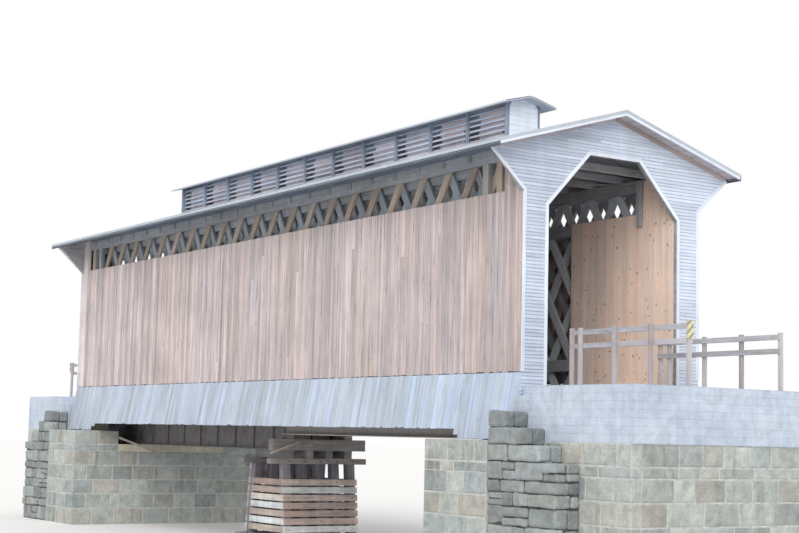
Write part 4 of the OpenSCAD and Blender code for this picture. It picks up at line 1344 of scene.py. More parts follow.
class BRIDGE_OT_portals(bpy.types.Operator):
    """Builds the clapboards, casings, barge boards and linings of both portals"""

    bl_idname = "bridge.portals"
    bl_label = "Portals"

    def execute(self, context):
        for side, number, flip in ENDS:
            work = built(30 + number, [flip], clapboards, context.scene.bridge_sizes.lap)
            work.deliver(f"{side}_clapboards", "clapboard", "clapboards")
            coat(f"{side}_portal", "sheathing")
        casings = built(33, BOTH_ENDS, portal_casings)
        casings.deliver("portal_casings", "trim", "trim_boards", "portal_trim")
        soffits = built(34, BOTH_ENDS, rake_boards)
        soffits.deliver("rake_soffit_boards", "rake", "trim_boards")
        linings = built(35, ALL_CORNERS, lining_boards)
        linings.deliver("portal_lining_boards", "lining", "new_timber", "portal_linings")
        return {"FINISHED"}


# ---- trusses


def web_planks(work, y0, rising, outer, shift_x):
    """One layer of parallel lattice planks on the back side, moved along the bridge."""
    rng = work.random
    top_run = (TRUSS_TOP - TRUSS_LOW) * PITCH / 2 / ROW_H
    half = PLANK_W * math.hypot(ROW_H, PITCH / 2) / ROW_H / 2
    shift = CHORD_HALF * PITCH / 2 / ROW_H
    reach = math.ceil((TRUSS_END + top_run) / PITCH)
    along = Vector((rising * PITCH / 2, 0, ROW_H)).normalized()
    for i in range(-reach, reach + 1):
        foot = i * PITCH - shift + rising * shift_x
        z0, z1 = TRUSS_LOW, TRUSS_TOP
        ring = [Vector((rising * (foot - half), y0, z0)), Vector((rising * (foot + half), y0, z0)),
                Vector((rising * (foot + top_run + half), y0, z1)),
                Vector((rising * (foot + top_run - half), y0, z1))]
        ring = clip(ring, Vector((TRUSS_END, 0, 0)), X)
        ring = tidy_ring(clip(ring, Vector((-TRUSS_END, 0, 0)), -X))
        if not ring:
            continue
        # the outer layer's rising planks take the warm light colours as painted sunlight, and the
        # layers behind take the blue ones as painted shade
        hue = (0.62 + 0.38 * rng.random()) if outer else 0.3 * rng.random()
        work.slab(ring, Y, 0.079, along, 0.006, None, hue)


def web_pins(work, face, radius, shift_x):
    """Wooden pins at the crossings of the lattice that the chords leave open."""
    rng = work.random
    for level in (2, 3, 4):
        z = CHORD_LOW + level * ROW_H
        for i in range(-BAYS, BAYS + 1):
            x = (i + level / 2) * PITCH + shift_x
            if abs(x) > TRUSS_END - 0.15:
                continue
            for dx, dz in ((0.05, 0.06), (-0.05, -0.06)):
                for y, outward in ((face, -Y), (face + 0.16, Y)):
                    at = Vector((x + dx, y, z + dz + rng.uniform(-0.01, 0.01)))
                    work.stud(at, outward, radius, 0.02, 6, None, 0.4)


def chord_planks(work, node):
    """Chords as pairs of planks with staggered ends."""
    rng = work.random
    for points, _ in solids(node):
        lo, hi = span(points)
        mid = (lo.y + hi.y) / 2
        outside = max(abs(lo.y), abs(hi.y)) > SIDE_Y - 0.1
        hues = (0.25, 0.5) if outside else (0.1, 0.4)
        for y0, y1 in ((lo.y, mid - 0.001), (mid + 0.001, hi.y)):
            for a, b in parts_of(splits(rng, lo.x, hi.x, 3.6, 6.0)):
                work.box((a + PLANK_GAP, y0, lo.z), (b - PLANK_GAP, y1, hi.z), 0.006,
                         None, rng.uniform(*hues))


class BRIDGE_OT_trusses(bpy.types.Operator):
    """Builds the lattice planks, chords, pins and end posts of both trusses"""

    bl_idname = "bridge.trusses"
    bl_label = "Trusses"

    def execute(self, context):
        sizes = context.scene.bridge_sizes
        for side, number, flip in SIDES:
            seed = 40 + number
            pins = Joinery(seed + 50)
            pins.flip = flip
            # the inner lattice takes the lighter finish, painted light for the shade inside the
            # bridge
            for web, key in (("inner", "inner"), ("outer", "truss")):
                node = f"{side}_{web}_lattice"
                y0 = high(f"back_{web}_lattice").y - 2 * WEB_T
                shift_x = -WEB_SHIFT * flip[1] if web == "inner" else 0.0
                work = Joinery(seed * 3 + len(web) + ord(web[0]))
                work.flip = flip
                web_planks(work, y0, -1, False, shift_x)
                web_planks(work, y0 + WEB_T, 1, web == "outer", shift_x)
                work.deliver(f"{node}_planks", key, "truss_timber", node)
                web_pins(pins, y0, sizes.pin, shift_x)
            pins.deliver(f"{side}_lattice_pins", "truss", "truss_timber")
            for level in ("bottom", "top"):
                node = f"{side}_{level}_chords"
                work = built(seed * 5 + len(level), ONCE, chord_planks, node)
                work.deliver(f"{node}_planks", "truss", "truss_timber", node)
        dressed(47, "truss_end_posts", "truss_posts", "truss", "truss_timber", sizes.edge)
        return {"FINISHED"}


# ---- floor


class BRIDGE_OT_floor(bpy.types.Operator):
    """Builds the cross beams, stringers and floor planks"""

    bl_idname = "bridge.floor"
    bl_label = "Floor"

    def execute(self, context):
        sizes = context.scene.bridge_sizes
        dressed(51, "floor_beams", "floor_cross_beams", "dark", "dark_timber", sizes.edge)
        runs = Joinery(52)
        for points, _ in solids("deck_stringers"):
            lo, hi = span(points)
            for a, b in parts_of(splits(runs.random, lo.x, hi.x, 4.5, 6.5)):
                runs.box((a + PLANK_GAP, lo.y, lo.z), (b - PLANK_GAP, hi.y, hi.z), sizes.edge)
        runs.deliver("floor_stringers", "dark", "dark_timber", "deck_stringers")
        planks = Joinery(53)
        lo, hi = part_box("deck_planks")
        widths = sizes.deck_board * 0.85, sizes.deck_board * 1.15
        for a, b in parts_of(splits(planks.random, lo.x, hi.x, *widths)):
            top = hi.z - planks.random.uniform(0, 0.006)
            planks.box((a + 0.004, lo.y, lo.z), (b - 0.004, hi.y, top), 0.006)
        planks.deliver("floor_planks", "deck", "deck_timber", "deck_planks")
        return {"FINISHED"}


# ---- roof


def brace_planks(work):
    """Crossed planks under the tie beams, and the hangers at the portals."""
    run = 4 * PITCH
    count = int(2 * TRUSS_END // run)
    reach = LINING_Y - 0.05
    skew = 0.25 / 2 / math.sin(math.atan2(2 * reach, run))
    base = TRUSS_TOP - 0.05
    for i in range(count):
        x0 = -count * run / 2 + i * run
        for s, z in ((-1, base), (1, base + 0.0255)):
            ring = [Vector((x, side * reach, z)) for x, side in (
                (x0 + skew / 2, -s), (x0 + skew * 1.5, -s),
                (x0 + run - skew / 2, s), (x0 + run - skew * 1.5, s))]
            work.slab(ring, Z, 0.0245, Vector((run, 2 * s * reach, 0)), 0.004)
    for flip in ALL_CORNERS:
        work.flip = flip
        work.box((TALL_X - 0.15, DOOR_HALF - 0.15, LINING_TOP - 0.38),
                 (TALL_X, DOOR_HALF, TRUSS_TOP - 0.05), 0.008, 0.2, 0.1)


def seams(work, x0, x1, gap, rise, y0, y1, height, half=0.012):
    """Standing seams down one slope of a roof."""
    count = max(1, round((x1 - x0) / gap))
    for i in range(count + 1):
        x = x0 + (x1 - x0) * i / count
        x = min(max(x, x0 + half), x1 - half)
        foot = Vector((x, y1, height(y1)))
        head = Vector((x, y0, height(y0)))
        up = (head - foot).cross(X).normalized()
        up = up if up.z > 0 else -up
        work.beam(foot + up * (rise / 2 - 0.003), head + up * (rise / 2 - 0.003),
                  2 * half, rise + 0.006, up, 0.005)


def roof_seams(work, sizes):
    """Seams of the back side of the roof, beside and below the cupola."""
    for x0, x1, y0 in (
        (-CUPOLA_END, CUPOLA_END, CUPOLA_Y + 0.01), (-ROOF_END, -CUPOLA_END - 0.4, 0.05),
        (CUPOLA_END + 0.4, ROOF_END, 0.05),
    ):
        seams(work, x0, x1, sizes.seam_gap, sizes.seam_h, y0, EAVE_Y - 0.012, roof_top)


def ridge_cap(work):
    """Cap of the ridge beyond the cupola, at the right end of the back side."""
    ring = quad(
        lambda x, y: Vector((x, y, roof_top(y) + 0.004)),
        CUPOLA_END + 0.02, ROOF_END - 0.004, 0.002, 0.17,
    )
    work.slab(ring, Vector((0, ROOF_SLOPE, 1)).normalized(), 0.03, X, 0.004)


def tie_ends(work):
    """Ends of the tie beams that show on the eaves chord of the back side."""
    for k in range(23):
        x = (k - 11) * PITCH
        if abs(x) < TRUSS_END - 0.2:
            work.box((x - 0.09, TRUSS_Y - 0.005, TRUSS_TOP - 0.02),
                     (x + 0.09, TRUSS_Y + 0.035, TRUSS_TOP + 0.17), 0.012, None, 0.4)


def eaves_boards(strips, fascia, soffits):
    """Edge strips, fascia and soffit boards of the eaves on the back side, darkened as painted
    shade.
    """
    marks = splits(fascia.random, -ROOF_END + 0.002, ROOF_END - 0.002, 3.4, 4.9)
    z1 = roof_under(EAVE_Y) - 0.002
    z0 = roof_under(EAVE_Y) - SOFFIT_DROP
    for work, low_z, high_z, thick in (
        (fascia, z1 - 0.02, z1, 0.042), (strips, z1 - 0.044, z1 - 0.021, 0.05),
        (fascia, z0, z1 - 0.045, 0.042),
    ):
        for a, b in parts_of(marks):
            ring = quad(upright(EAVE_Y - EDGE_T), a + BOARD_GAP, b - BOARD_GAP, low_z, high_z)
            work.slab(ring, Y, thick, X, 0.004)
    down = Vector((0, -ROOF_SLOPE, -1)).normalized()
    rng = soffits.random
    for y0, y1 in parts_of(splits(rng, SIDE_Y - 0.055, EAVE_Y - EDGE_T, 0.12, 0.17)):
        for a, b in parts_of(splits(rng, -WALL_END, WALL_END, 2.6, 4.8)):
            ring = quad(
                lambda x, y: Vector((x, y, roof_under(y) - SOFFIT_DROP + SOFFIT_T)),
                a + BOARD_GAP, b - BOARD_GAP, y0 + BOARD_GAP, y1 - BOARD_GAP,
            )
            soffits.slab(ring, down, SOFFIT_T - rng.uniform(0, 0.003), X, 0.003)


class BRIDGE_OT_roof(bpy.types.Operator):
    """Builds the roof timbers, seams, ridge caps, eaves and soffits"""

    bl_idname = "bridge.roof"
    bl_label = "Roof"

    def execute(self, context):
        sizes = context.scene.bridge_sizes
        dressed(61, "tie_beams", "roof_tie_beams", "dark", "dark_timber", sizes.edge)
        braces = built(62, ONCE, brace_planks)
        braces.deliver("lateral_brace_planks", "dark", "dark_timber", "lateral_braces")
        # the wall plates get a finish darkened as painted shade under the eaves
        dressed(63, "wall_plates", "roof_wall_plates", "plate", "dark_timber", sizes.edge)
        dressed(64, "rafters", "roof_rafters", "dark", "dark_timber", sizes.edge)
        ends = built(69, BOTH_SIDES, tie_ends)
        ends.deliver("tie_beam_ends", "truss", "dark_timber")
        coat("ridge_frame", "ridge")
        for side, number, flip in SIDES:
            coat(f"{side}_roof", "roof")
            work = built(64 + number, [flip], roof_seams, sizes)
            work.deliver(f"{side}_roof_seams", "roof", "roof_sheet")
        caps = built(67, ALL_CORNERS, ridge_cap)
        caps.deliver("ridge_caps", "roof", "roof_sheet")
        fascia, soffits, strips = Joinery(68), Joinery(60), Joinery(59)
        for flip in BOTH_SIDES:
            fascia.flip = soffits.flip = strips.flip = flip
            eaves_boards(strips, fascia, soffits)
        # the soffit boards, edge strips and fascia boards are darkened as painted shade under the
        # eaves
        soffits.deliver("eaves_soffit_boards", "soffit", "trim_boards")
        strips.deliver("eaves_edge_strips", "soffit", "trim_boards")
        fascia.deliver("eaves_fascia_boards", "fascia", "trim_boards", "eaves")
        return {"FINISHED"}


# ---- cupola


def cupola_boards(work):
    """Level boards on the gable of the cupola at the right end."""
    rng = work.random
    half = CUPOLA_Y - 0.1
    foot = roof_top(half) - 0.02
    peak = high("cupola_gables").z
    slope = (peak - high("cupola_posts").z) / half * 0.9
    z = foot
    while z < peak - 0.02:
        top = min(z + rng.uniform(0.13, 0.17), peak - 0.01)
        y0 = min(half, (peak - z) / slope)
        y1 = min(half, (peak - top) / slope)
        tone, hue = rng.uniform(0.8, 1.0), rng.uniform(0.8, 1.0)
        low_z, high_z = z + BOARD_GAP, top - BOARD_GAP
        points = [(-y0, low_z), (y0, low_z), (y1, high_z), (-y1, high_z)]
        board_on(work, CUPOLA_END - 0.001, points, 0.018, Y, tone, hue)
        z = top


def louver_backing(work):
    """Rough boards behind the louvers of the back side, in the middle of each bay."""
    rng = work.random
    gap = (2 * CUPOLA_END - 0.1) / CUPOLA_BAYS
    face = CUPOLA_Y - 0.25
    top = high("cupola_posts").z - 0.13
    for i in range(CUPOLA_BAYS):
        middle = 0.05 - CUPOLA_END + (i + 0.5) * gap
        z = CUPOLA_SILL + 0.02
        while z < top - 0.03:
            end = min(top, z + rng.uniform(0.11, 0.19))
            reach = gap * rng.uniform(0.29, 0.35)
            shift = rng.uniform(-0.06, 0.06)
            ring = quad(
                lambda x, h: Vector((middle + shift + x, face, h)),
                -reach, reach, z, end - 0.004,
            )
            work.slab(ring, Y, 0.02, X, 0.003)
            z = end


class BRIDGE_OT_cupola(bpy.types.Operator):
    """Builds the posts, louvers, gable boards and roof seams of the cupola"""

    bl_idname = "bridge.cupola"
    bl_label = "Cupola"

    def execute(self, context):
        sizes = context.scene.bridge_sizes
        dressed(71, "cupola_posts", "cupola_post_timbers", "cupola_post", "trim_boards", 0.005)
        backing = built(75, BOTH_SIDES, louver_backing)
        backing.deliver("cupola_backing_boards", "backing", "louver_boards")
        dressed(72, "cupola_louvers", "cupola_louver_boards", "louver", "louver_boards", 0.003)
        coat("cupola_gables", "sheathing")
        coat("cupola_roof", "roof")
        boards = built(73, BOTH_ENDS, cupola_boards)
        boards.deliver("cupola_gable_boards", "trim", "clapboards")
        lo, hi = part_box("cupola_roof")
        slope = 0.25 / hi.y
        work = built(74, BOTH_SIDES, seams, lo.x, hi.x, sizes.seam_gap, 0.02, 0.06,
                     hi.y - 0.004, lambda y: hi.z - 0.016 - slope * y)
        work.deliver("cupola_roof_seams", "roof", "roof_sheet")
        return {"FINISHED"}


# ---- girders


def girder_rivets(work, radius):
    """Rivets along the flanges and stiffeners of the deep girder on the back side."""
    lo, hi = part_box("left_girders")

    def pair(x, z):
        """A rivet on each side of the girder's plate."""
        for s in (-1, 1):
            at = Vector((x, GIRDER_Y + s * 0.015, z))
            work.stud(at, Vector((0, s, 0)), radius, 0.014, 6)

    for z in (lo.z + 0.1, hi.z - 0.1):
        x = lo.x + 0.06
        while x < hi.x:
            pair(x, z)
            x += 0.14
    for i in range(10):
        x = lo.x + 0.025 + 1.45 * i
        z = lo.z + 0.2
        while z < hi.z - 0.15:
            pair(x + 0.05, z)
            z += 0.14


def flange_angles(work):
    """Angle irons in the corners of the deep girder, under its rivets."""
    lo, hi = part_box("left_girders")
    for s in (-1, 1):
        for z0, z1 in ((lo.z + 0.04, lo.z + 0.17), (hi.z - 0.17, hi.z - 0.04)):
            y0, y1 = GIRDER_Y + s * 0.012, GIRDER_Y + s * 0.026
            work.box((lo.x + 0.002, min(y0, y1), z0), (hi.x - 0.002, max(y0, y1), z1), 0.003)


def worn_edges(work):
    """Bare strips along the edges of the shallow girders' lower flanges."""
    lo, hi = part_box("right_girders")
    for y0, y1 in ((hi.y - 0.002, hi.y + 0.003), (2 * GIRDER_Y - hi.y - 0.003,
                                                2 * GIRDER_Y - hi.y + 0.002)):
        work.box((lo.x + 0.01, y0, lo.z + 0.002), (hi.x - 0.01, y1, lo.z + 0.022), 0.001,
                 None, 0.6)


class BRIDGE_OT_girders(bpy.types.Operator):
    """Finishes the steel girders and adds their rivets"""

    bl_idname = "bridge.girders"
    bl_label = "Girders"

    def execute(self, context):
        coat("left_girders", "steel")
        coat("right_girders", "pale_steel")
        edges = built(83, BOTH_SIDES, worn_edges)
        edges.deliver("girder_worn_edges", "bearing", "girder_steel")
        angles = built(81, BOTH_SIDES, flange_angles)
        angles.deliver("girder_angles", "steel", "girder_steel")
        rivets = built(82, BOTH_SIDES, girder_rivets, context.scene.bridge_sizes.rivet)
        rivets.deliver("girder_rivets", "steel", "girder_steel")
        return {"FINISHED"}


# ---- pier


SLAT_HUES_END = (0.6, 0.1, 0.78, 0.86, 0.95, 0.82, 0.12)
SLAT_HUES_SIDE = (0.95, 0.7, 0.4, 0.02, 0.65, 0.05, 0.6)


def bent_face(z, side):
    """Distance of a bent's outer (1) or inner (-1) face from the pier's middle."""
    return BENT + BENT_SPREAD * (POST_TOP - z) / (POST_TOP - SLAT_FOOT) + side * 0.15


def pier_slats(work):
    """Slats round the pier, each with its own colour down the face."""
    rng = work.random
    half = 1.47
    reach = half + SLAT_T
    for row in range(-2, 7):
        top = SLAT_TOP - row * SLAT_PITCH
        foot = top - SLAT_H if row >= 0 else top - SLAT_PITCH + 0.004
        top = min(top, POST_TOP)
        for s in (-1, 1):
            if row < 0 and s > 0:
                continue
            ring = [Vector((PIER_X + s * bent_face(z, 1), y, z)) for y, z in (
                (-reach + rng.uniform(0, 0.012), foot), (reach - rng.uniform(0, 0.012), foot),
                (reach - rng.uniform(0, 0.012), top), (-reach + rng.uniform(0, 0.012), top))]
            outward = Vector((s, 0, 0.1)).normalized()
            hue = SLAT_HUES_END[row] if s > 0 else rng.random()
            work.slab(ring, outward, SLAT_T * 0.995 - rng.uniform(0, 0.006), Y, 0.006, None, hue)
            if row < 0:
                continue
            ring = [Vector((PIER_X + x, s * half, z)) for x, z in (
                (-bent_face(foot, -1) - 0.08, foot), (bent_face(foot, 1), foot),
                (bent_face(top, 1), top), (-bent_face(top, -1) - 0.08, top))]
            hue = SLAT_HUES_SIDE[row] if s < 0 else rng.random()
            work.slab(ring, Y * s, SLAT_T - rng.uniform(0, 0.006), X, 0.006, None, hue)


def cap_timbers(work):
    """Caps and blocking between the pier and the girders."""
    half, reach = 1.0, 1.96
    base, seat, deep = FOOT - 2.82, FOOT - 2.62, FOOT - 2.35
    upper = FOOT - 1.95
    front = PIER_X + half
    for x in (PIER_X - half, front):
        work.box((x - 0.15, -reach, base), (x + 0.15, reach, seat), 0.01)
    for y in (-1.2, -0.4, 0.4, 1.2):
        work.box((PIER_X - half - 0.15, y - 0.15, seat + 0.001),
                 (front + 0.15, y + 0.15, deep - 0.001), 0.01)
    work.box((front - 0.15, -reach + 0.05, deep), (front + 0.15, reach - 0.05, upper), 0.01)
    for y in (-GIRDER_Y, GIRDER_Y):
        work.box((front - 0.15, y - 0.15, upper + 0.001),
                 (front + 0.15, y + 0.15, FOOT - 1.8), 0.01)


def cap_brace(work):
    """Thin plank nailed slantwise over the caps, on the side of the right span."""
    face = PIER_X + BENT + 0.15
    ring = [Vector((face + 0.001, y, z)) for y, z in (
        (-2.03, FOOT - 2.50), (-1.99, FOOT - 2.42), (-0.86, FOOT - 1.99), (-0.82, FOOT - 2.07))]
    work.slab(ring, X, 0.028, Vector((0, 1.19, 0.43)), 0.004, 0.9, 0.62)


def pier_bolts(work, radius):
    """Bolts through the caps into the posts, and through the slats."""
    lo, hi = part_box("pier_caps")
    posts = [-1.32 + i * 0.66 for i in range(5)]
    for x in (lo.x, hi.x):
        outward = X if x > PIER_X else -X
        for y in posts:
            work.stud(Vector((x, y + 0.07, FOOT - 2.72)), outward, radius * 1.4, 0.02, 8)
    for row in range(7):
        z = SLAT_TOP - row * SLAT_PITCH - SLAT_H / 2
        for s in (-1, 1):
            face = PIER_X + s * (bent_face(z, 1) + SLAT_T - 0.006)
            for y in posts:
                work.stud(Vector((face, y, z)), X * s, radius, 0.012, 6)


class BRIDGE_OT_pier(bpy.types.Operator):
    """Builds the timbers, slats, caps and bolts of the pier"""

    bl_idname = "bridge.pier"
    bl_label = "Pier"

    def execute(self, context):
        dressed(91, "pier_posts", "pier_posts_timbers", "pier", "pier_timber", 0.012)
        dressed(92, "pier_sills", "pier_sills_timbers", "pier", "pier_timber", 0.012)
        slats = built(93, ONCE, pier_slats)
        slats.deliver("pier_slat_boards", "slat", "pier_slats", "pier_slats")
        brace = built(96, ONCE, cap_brace)
        brace.deliver("pier_cap_brace", "slat", "pier_slats")
        caps = built(94, ONCE, cap_timbers)
        caps.deliver("pier_cap_timbers", "cap", "dark_timber", "pier_caps")
        bolts = built(95, ONCE, pier_bolts, context.scene.bridge_sizes.bolt)
        bolts.deliver("pier_bolts", "iron", "pier_timber")
        return {"FINISHED"}


# ---- stonework


COURSES = (0.0, 0.55, 0.83, 1.4, 1.98, 2.54, 3.13, 3.78)
RUBBLE_TOPS = [FOOT - 1.05 - 0.43 * i for i in range(4)]
RUBBLE_STEP = 0.7


def ashlar(work, joint):
    """Squared stones of the right abutment."""
    rng = work.random
    j = joint / 2
    out = 0.014
    face = RUBBLE_Y + out
    river = STONE_X - out
    for course, (d0, d1) in enumerate(parts_of(COURSES)):
        z1, z0 = CHEEK_Z - d0 - j, CHEEK_Z - d1 + j
        if course == 0:
            z1 = CHEEK_Z + 0.006
        if course == 2:
            z1 = SEAT_Z + 0.004
        z0 = max(z0, 0.0)
        for s in (1, -1):
            # blocks along the side, with the first one turning the corner
            start = 0.75 if course % 2 else 1.05
            marks = [STONE_X - out] + splits(rng, STONE_X + start, STONE_END, 0.55, 1.25)
            deep = 1.0 if course < 2 else (0.55 if course % 2 else 0.85)
            rows = [(face, face - deep)]
            if course < 2:
                rows.append((face - deep - 2 * j, SEAT_Y + 0.002))
            for near, far in rows:
                ys = sorted((s * near, s * far))
                for a, b in parts_of(marks):
                    low_x = a if a < STONE_X else a + j
                    work.stone((low_x, ys[0], z0), (b - j, ys[1], z1))
        if course >= 2:
            corner = face - (0.55 if course % 2 else 0.85) - j
            marks = splits(rng, -corner, corner, 0.6, 1.3)
            reach = STONE_END - 0.02 if course == 2 else STONE_X + 0.4
            for a, b in parts_of(marks):
                cuts = [river] + (splits(rng, STONE_X + 0.8, reach, 0.7, 1.1) if course == 2
                                  else [reach])
                for c, d in parts_of(cuts):
                    low_x = c if c < STONE_X else c + j
                    work.stone((low_x, a + j, z0), (d - j, b - j, z1))


def approach_stones(work, joint):
    """Squared stones on the sides of the right approach, beyond the rubble walls."""
    rng = work.random
    j = joint / 2
    for d0, d1 in parts_of(COURSES):
        z1, z0 = CHEEK_Z - d0 - j, max(0.0, CHEEK_Z - d1 + j)
        for s in (1, -1):
            marks = splits(rng, high("rubble_walls").x - 2.2, APPROACH_END, 0.55, 1.25)
            for a, b in parts_of(marks):
                ys = sorted((s * (WING_Y + 0.015), s * (WING_Y - 0.3)))
                end = b - j if b < APPROACH_END else b - 0.014
                work.stone((a + j, ys[0], z0), (end, ys[1], z1))


def end_stones(work, joint):
    """Squared stones on the end face of the right approach, between its corner stones."""
    rng = work.random
    j = joint / 2
    side = WING_Y - 0.3
    for d0, d1 in parts_of(COURSES):
        z1, z0 = CHEEK_Z - d0 - j, max(0.0, CHEEK_Z - d1 + j)
        marks = splits(rng, -side, side, 0.6, 1.3)
        for a, b in parts_of(marks):
            work.stone((APPROACH_END - 0.3, a + j, z0), (APPROACH_END - 0.014, b - j, z1))


def mortar_mass(node):
    """Mortar between the stones: the frame node, set back at the end of the approach."""
    work = Joinery(107)
    for points, faces in solids(node):
        for p in points:
            if abs(p.x) > APPROACH_END - 0.01:
                p.x = math.copysign(APPROACH_END - 0.03, p.x)
        work.add(points, faces, X, Y)
    return work


def rubble(work):
    """Uneven stones of the rubble wall at the right end on the back side."""
    rng = work.random
    tops = RUBBLE_TOPS
    rows = [(tops[i + 1], tops[i], STONE_END + RUBBLE_STEP * (i + 1)) for i in range(3)]
    z = tops[3]
    while z > 0.01:
        foot = z - rng.uniform(0.3, 0.52)
        foot = 0.0 if foot < 0.2 else foot
        rows.append((foot, z, STONE_END + 2.8))
        z = foot
    for z0, z1, end in rows:
        marks = splits(rng, STONE_END, end, 0.4, 1.15)
        for a, b in parts_of(marks):
            cut = z0 + rng.uniform(0.4, 0.6) * (z1 - z0)
            parts = [(z0, cut), (cut, z1)] if rng.random() < 0.16 else [(z0, z1)]
            for c, d in parts:
                # a second stone lies behind each outer one
                back = WING_Y + rng.uniform(0.3, 0.5)
                cuts = (WING_Y + 0.02, back, RUBBLE_Y - rng.uniform(-0.03, 0.05))
                for near, far in parts_of(cuts):
                    work.stone(
                        (a + 0.006, near + 0.006, max(0.0, c + 0.006)),
                        (b - 0.006, far, d - 0.004 - (0.02 if far == back else 0)),
                        rng.uniform(0.04, 0.08), 0.04, 5,
                    )


def rubble_fill(work):
    """Dark mass behind the stones of the rubble wall."""
    for i, top in enumerate(RUBBLE_TOPS):
        x0 = STONE_END + RUBBLE_STEP * i
        work.box((x0 + (0.06 if i == 0 else 0), WING_Y, 0.0),
                 (x0 + 0.64, RUBBLE_Y - 0.07, top - 0.07), 0.004)


def bearing_brace(work):
    """Loose plank that leans over the bearing on the river face of the left abutment."""
    face = -STONE_X + 0.001
    ring = [Vector((face, y, z)) for y, z in (
        (-2.42, FOOT - 2.12), (-2.38, FOOT - 2.04), (-0.48, FOOT - 2.68), (-0.52, FOOT - 2.76))]
    work.slab(ring, X, 0.017, Vector((0, 1.9, -0.64)), 0.003, 0.7, 0.6)


class BRIDGE_OT_stonework(bpy.types.Operator):
    """Builds the squared stones of the abutments and the rubble walls"""

    bl_idname = "bridge.stonework"
    bl_label = "Stonework"

    def execute(self, context):
        joint = context.scene.bridge_sizes.joint
        for side, number, flip in ENDS:
            mass = mortar_mass(f"{side}_abutment")
            mass.deliver(f"{side}_abutment_mortar", "mortar", "squared_stone",
                         f"{side}_abutment")
            coat(f"{side}_wing_walls", "concrete")
            work = Joinery(100 + number)
            work.flip = flip
            for lay in (ashlar, approach_stones, end_stones):
                lay(work, joint)
            work.deliver(f"{side}_abutment_stones", "stone", "squared_stone")
        fill = built(105, ALL_CORNERS, rubble_fill)
        fill.deliver("rubble_fill", "gaps", "rubble_stone")
        stones = built(103, ALL_CORNERS, rubble)
        stones.deliver("rubble_stones", "rubble", "rubble_stone", "rubble_walls")
        plank = built(106, ONCE, bearing_brace)
        plank.deliver("bearing_brace", "slat", "pier_slats")
        dressed(104, "bearings", "bearing_timbers", "bearing", "new_timber", 0.01)
        return {"FINISHED"}


# ---- railings


def railing(work, bolts, sizes, rise):
    """One railing at the right end on the back side, raised by a step."""
    y = 1.6
    base = FOOT - 0.4
    last = 19.85
    posts = [last - 1.363 * i for i in range(4)]
    posts.append(posts[-1] - 0.35)
    rails = (base + 1.01 + rise, base + 1.37 + rise)
    for i, (x, hue) in enumerate(zip(posts, (0.62, 0.95, 0.55, 0.66, 0.84))):
        work.box((x - 0.05, y - 0.05, base), (x + 0.05, y + 0.05, base + 1.49 + rise),
                 0.006, None, hue)
        for z in rails:
            for dz in (-0.035, 0.035):
                bolts.stud(Vector((x, y + 0.05, z + dz)), Y, sizes.bolt * 0.8, 0.008, 6)
    for z in rails:
        for a, b in parts_of([posts[-1] - 0.05, posts[2], last + 0.05]):
            work.box((a + 0.001, y - 0.09, z - 0.07), (b - 0.001, y - 0.05, z + 0.07), 0.006,
                     None, work.random.uniform(0.0, 0.4))


class BRIDGE_OT_railings(bpy.types.Operator):
    """Builds the railings and finishes their marker plates"""

    bl_idname = "bridge.railings"
    bl_label = "Railings"

    def execute(self, context):
        sizes = context.scene.bridge_sizes
        work, bolts = Joinery(111), Joinery(112)
        for flip in ALL_CORNERS:
            work.flip = bolts.flip = flip
            railing(work, bolts, sizes, 0.12 if flip[1] < 0 else 0.0)
        work.deliver("railing_timbers", "rail", "railing_timber", "railings")
        bolts.deliver("railing_bolts", "iron", "railing_timber")
        coat("marker_plates", "marker")
        return {"FINISHED"}


# ---- stage


def stage_floor():
    """Pale floor that keeps the bridge's shadow."""
    mesh = bpy.data.meshes.new("stage_floor")
    reach = 420
    mesh.from_pydata(
        [(-reach, -reach, -0.002), (reach, -reach, -0.002), (reach, reach, -0.002),
         (-reach, reach, -0.002)], [], [(0, 1, 2, 3)],
    )
    made, tree = start_finish("Stage floor")
    shader = made.node_tree.nodes["Principled BSDF"]
    rays = tree.node("ShaderNodeLightPath")
    tone = tree.mix(rays.outputs["Is Camera Ray"], (0.8, 0.8, 0.8), (0.9, 0.9, 0.9))
    tree.feed(shader.inputs["Base Color"], tone)
    shader.inputs["Roughness"].default_value = 1
    shader.inputs["Specular IOR Level"].default_value = 0
    mesh.materials.append(made)
    floor = bpy.data.objects.new("stage_floor", mesh)
    bpy.context.scene.collection.objects.link(floor)


def stage_light(light):
    """Even light from the sky, white behind the bridge, and a soft sun from the right."""
    world = bpy.data.worlds.new("Stage sky")
    bpy.context.scene.world = world
    world.use_nodes = True
    tree = Tree(world.node_tree)
    back = world.node_tree.nodes["Background"]
    rays = tree.node("ShaderNodeLightPath")
    seen = tree.math("MAXIMUM", rays.outputs["Is Camera Ray"], rays.outputs["Is Glossy Ray"])
    seen = tree.math("MAXIMUM", seen, rays.outputs["Is Transmission Ray"])
    back.inputs[0].default_value = (1, 1, 1, 1)
    tree.feed(back.inputs[1], tree.remap(seen, 0, 1, light.sky, 1.0))
    lamp = bpy.data.lights.new("soft_sun", "SUN")
    lamp.energy = light.sun
    lamp.angle = light.sun_width
    lamp.color = (1.0, 0.98, 0.95)
    sun = bpy.data.objects.new("soft_sun", lamp)
    bpy.context.scene.collection.objects.link(sun)
    sun.rotation_euler = Vector((0.62, -0.62, 0.55)).to_track_quat("Z", "Y").to_euler()


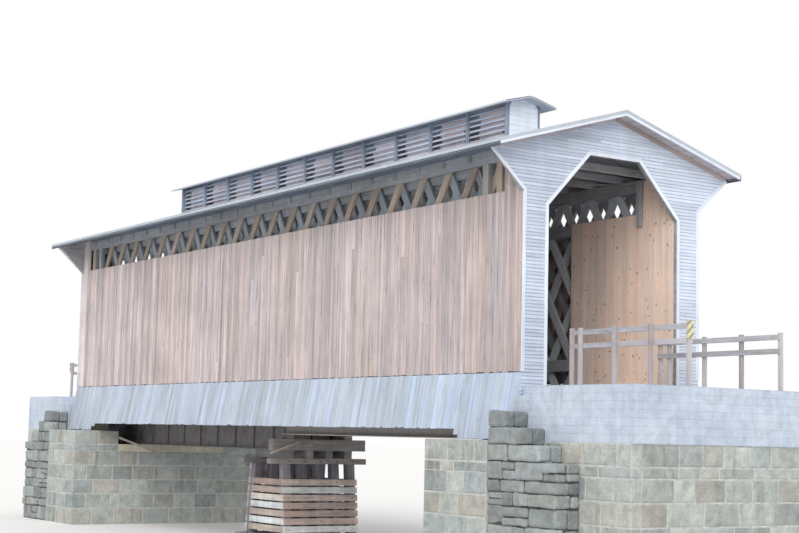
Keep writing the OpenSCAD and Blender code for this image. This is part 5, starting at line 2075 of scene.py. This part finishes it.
def stage_camera():
    """Camera at the photograph's place and angle."""
    yaw, pitch, roll = (math.radians(a) for a in (56.5805, 6.1788, 1.3300))
    forward = Vector((-math.sin(yaw) * math.cos(pitch), math.cos(yaw) * math.cos(pitch),
                      math.sin(pitch)))
    right = Vector((math.cos(yaw), math.sin(yaw), 0))
    up = right.cross(forward)
    side = right * math.cos(roll) + up * math.sin(roll)
    top = up * math.cos(roll) - right * math.sin(roll)
    turn = Matrix((side, top, -forward)).transposed().to_4x4()
    data = bpy.data.cameras.new("camera")
    data.sensor_width = 36
    data.lens = 36 * 1569.868 / 799
    data.clip_end = 2000
    camera = bpy.data.objects.new("camera", data)
    camera.matrix_world = Matrix.Translation((47.918, -28.643, 3.824)) @ turn
    bpy.context.scene.collection.objects.link(camera)
    bpy.context.scene.camera = camera


class BRIDGE_OT_stage(bpy.types.Operator):
    """Sets the floor, the light and the camera"""

    bl_idname = "bridge.stage"
    bl_label = "Stage"

    def execute(self, context):
        stage_floor()
        stage_light(context.scene.bridge_light)
        stage_camera()
        context.scene.view_settings.view_transform = "Standard"
        return {"FINISHED"}


# ---- add-on


OPERATORS = (
    BRIDGE_OT_side_boards, BRIDGE_OT_skirts, BRIDGE_OT_portals, BRIDGE_OT_trusses,
    BRIDGE_OT_floor, BRIDGE_OT_roof, BRIDGE_OT_cupola, BRIDGE_OT_girders, BRIDGE_OT_pier,
    BRIDGE_OT_stonework, BRIDGE_OT_railings, BRIDGE_OT_stage,
)


class BRIDGE_PT_panel(bpy.types.Panel):
    """Lists the bridge's settings and pieces"""

    bl_label = "Covered Bridge"
    bl_idname = "BRIDGE_PT_panel"
    bl_space_type = "VIEW_3D"
    bl_region_type = "UI"
    bl_category = "Bridge"

    def draw(self, context):
        layout = self.layout
        for settings in (context.scene.bridge_sizes, context.scene.bridge_colours,
                         context.scene.bridge_light):
            box = layout.box()
            for key in settings.__annotations__:
                box.prop(settings, key)
        column = layout.column(align=True)
        for operator in OPERATORS:
            column.operator(operator.bl_idname)


CLASSES = (BridgeSizes, BridgeColours, BridgeLight, *OPERATORS, BRIDGE_PT_panel)


def register():
    """Registers the classes and the settings."""
    for each in CLASSES:
        bpy.utils.register_class(each)
    bpy.types.Scene.bridge_sizes = PointerProperty(type=BridgeSizes)
    bpy.types.Scene.bridge_colours = PointerProperty(type=BridgeColours)
    bpy.types.Scene.bridge_light = PointerProperty(type=BridgeLight)


def unregister():
    """Removes the settings and the classes."""
    del bpy.types.Scene.bridge_light
    del bpy.types.Scene.bridge_colours
    del bpy.types.Scene.bridge_sizes
    for each in reversed(CLASSES):
        bpy.utils.unregister_class(each)


def main():
    """Builds every piece and the stage."""
    register()
    for operator in OPERATORS:
        area, name = operator.bl_idname.split(".")
        getattr(getattr(bpy.ops, area), name)()


if __name__ == "__main__":
    main()
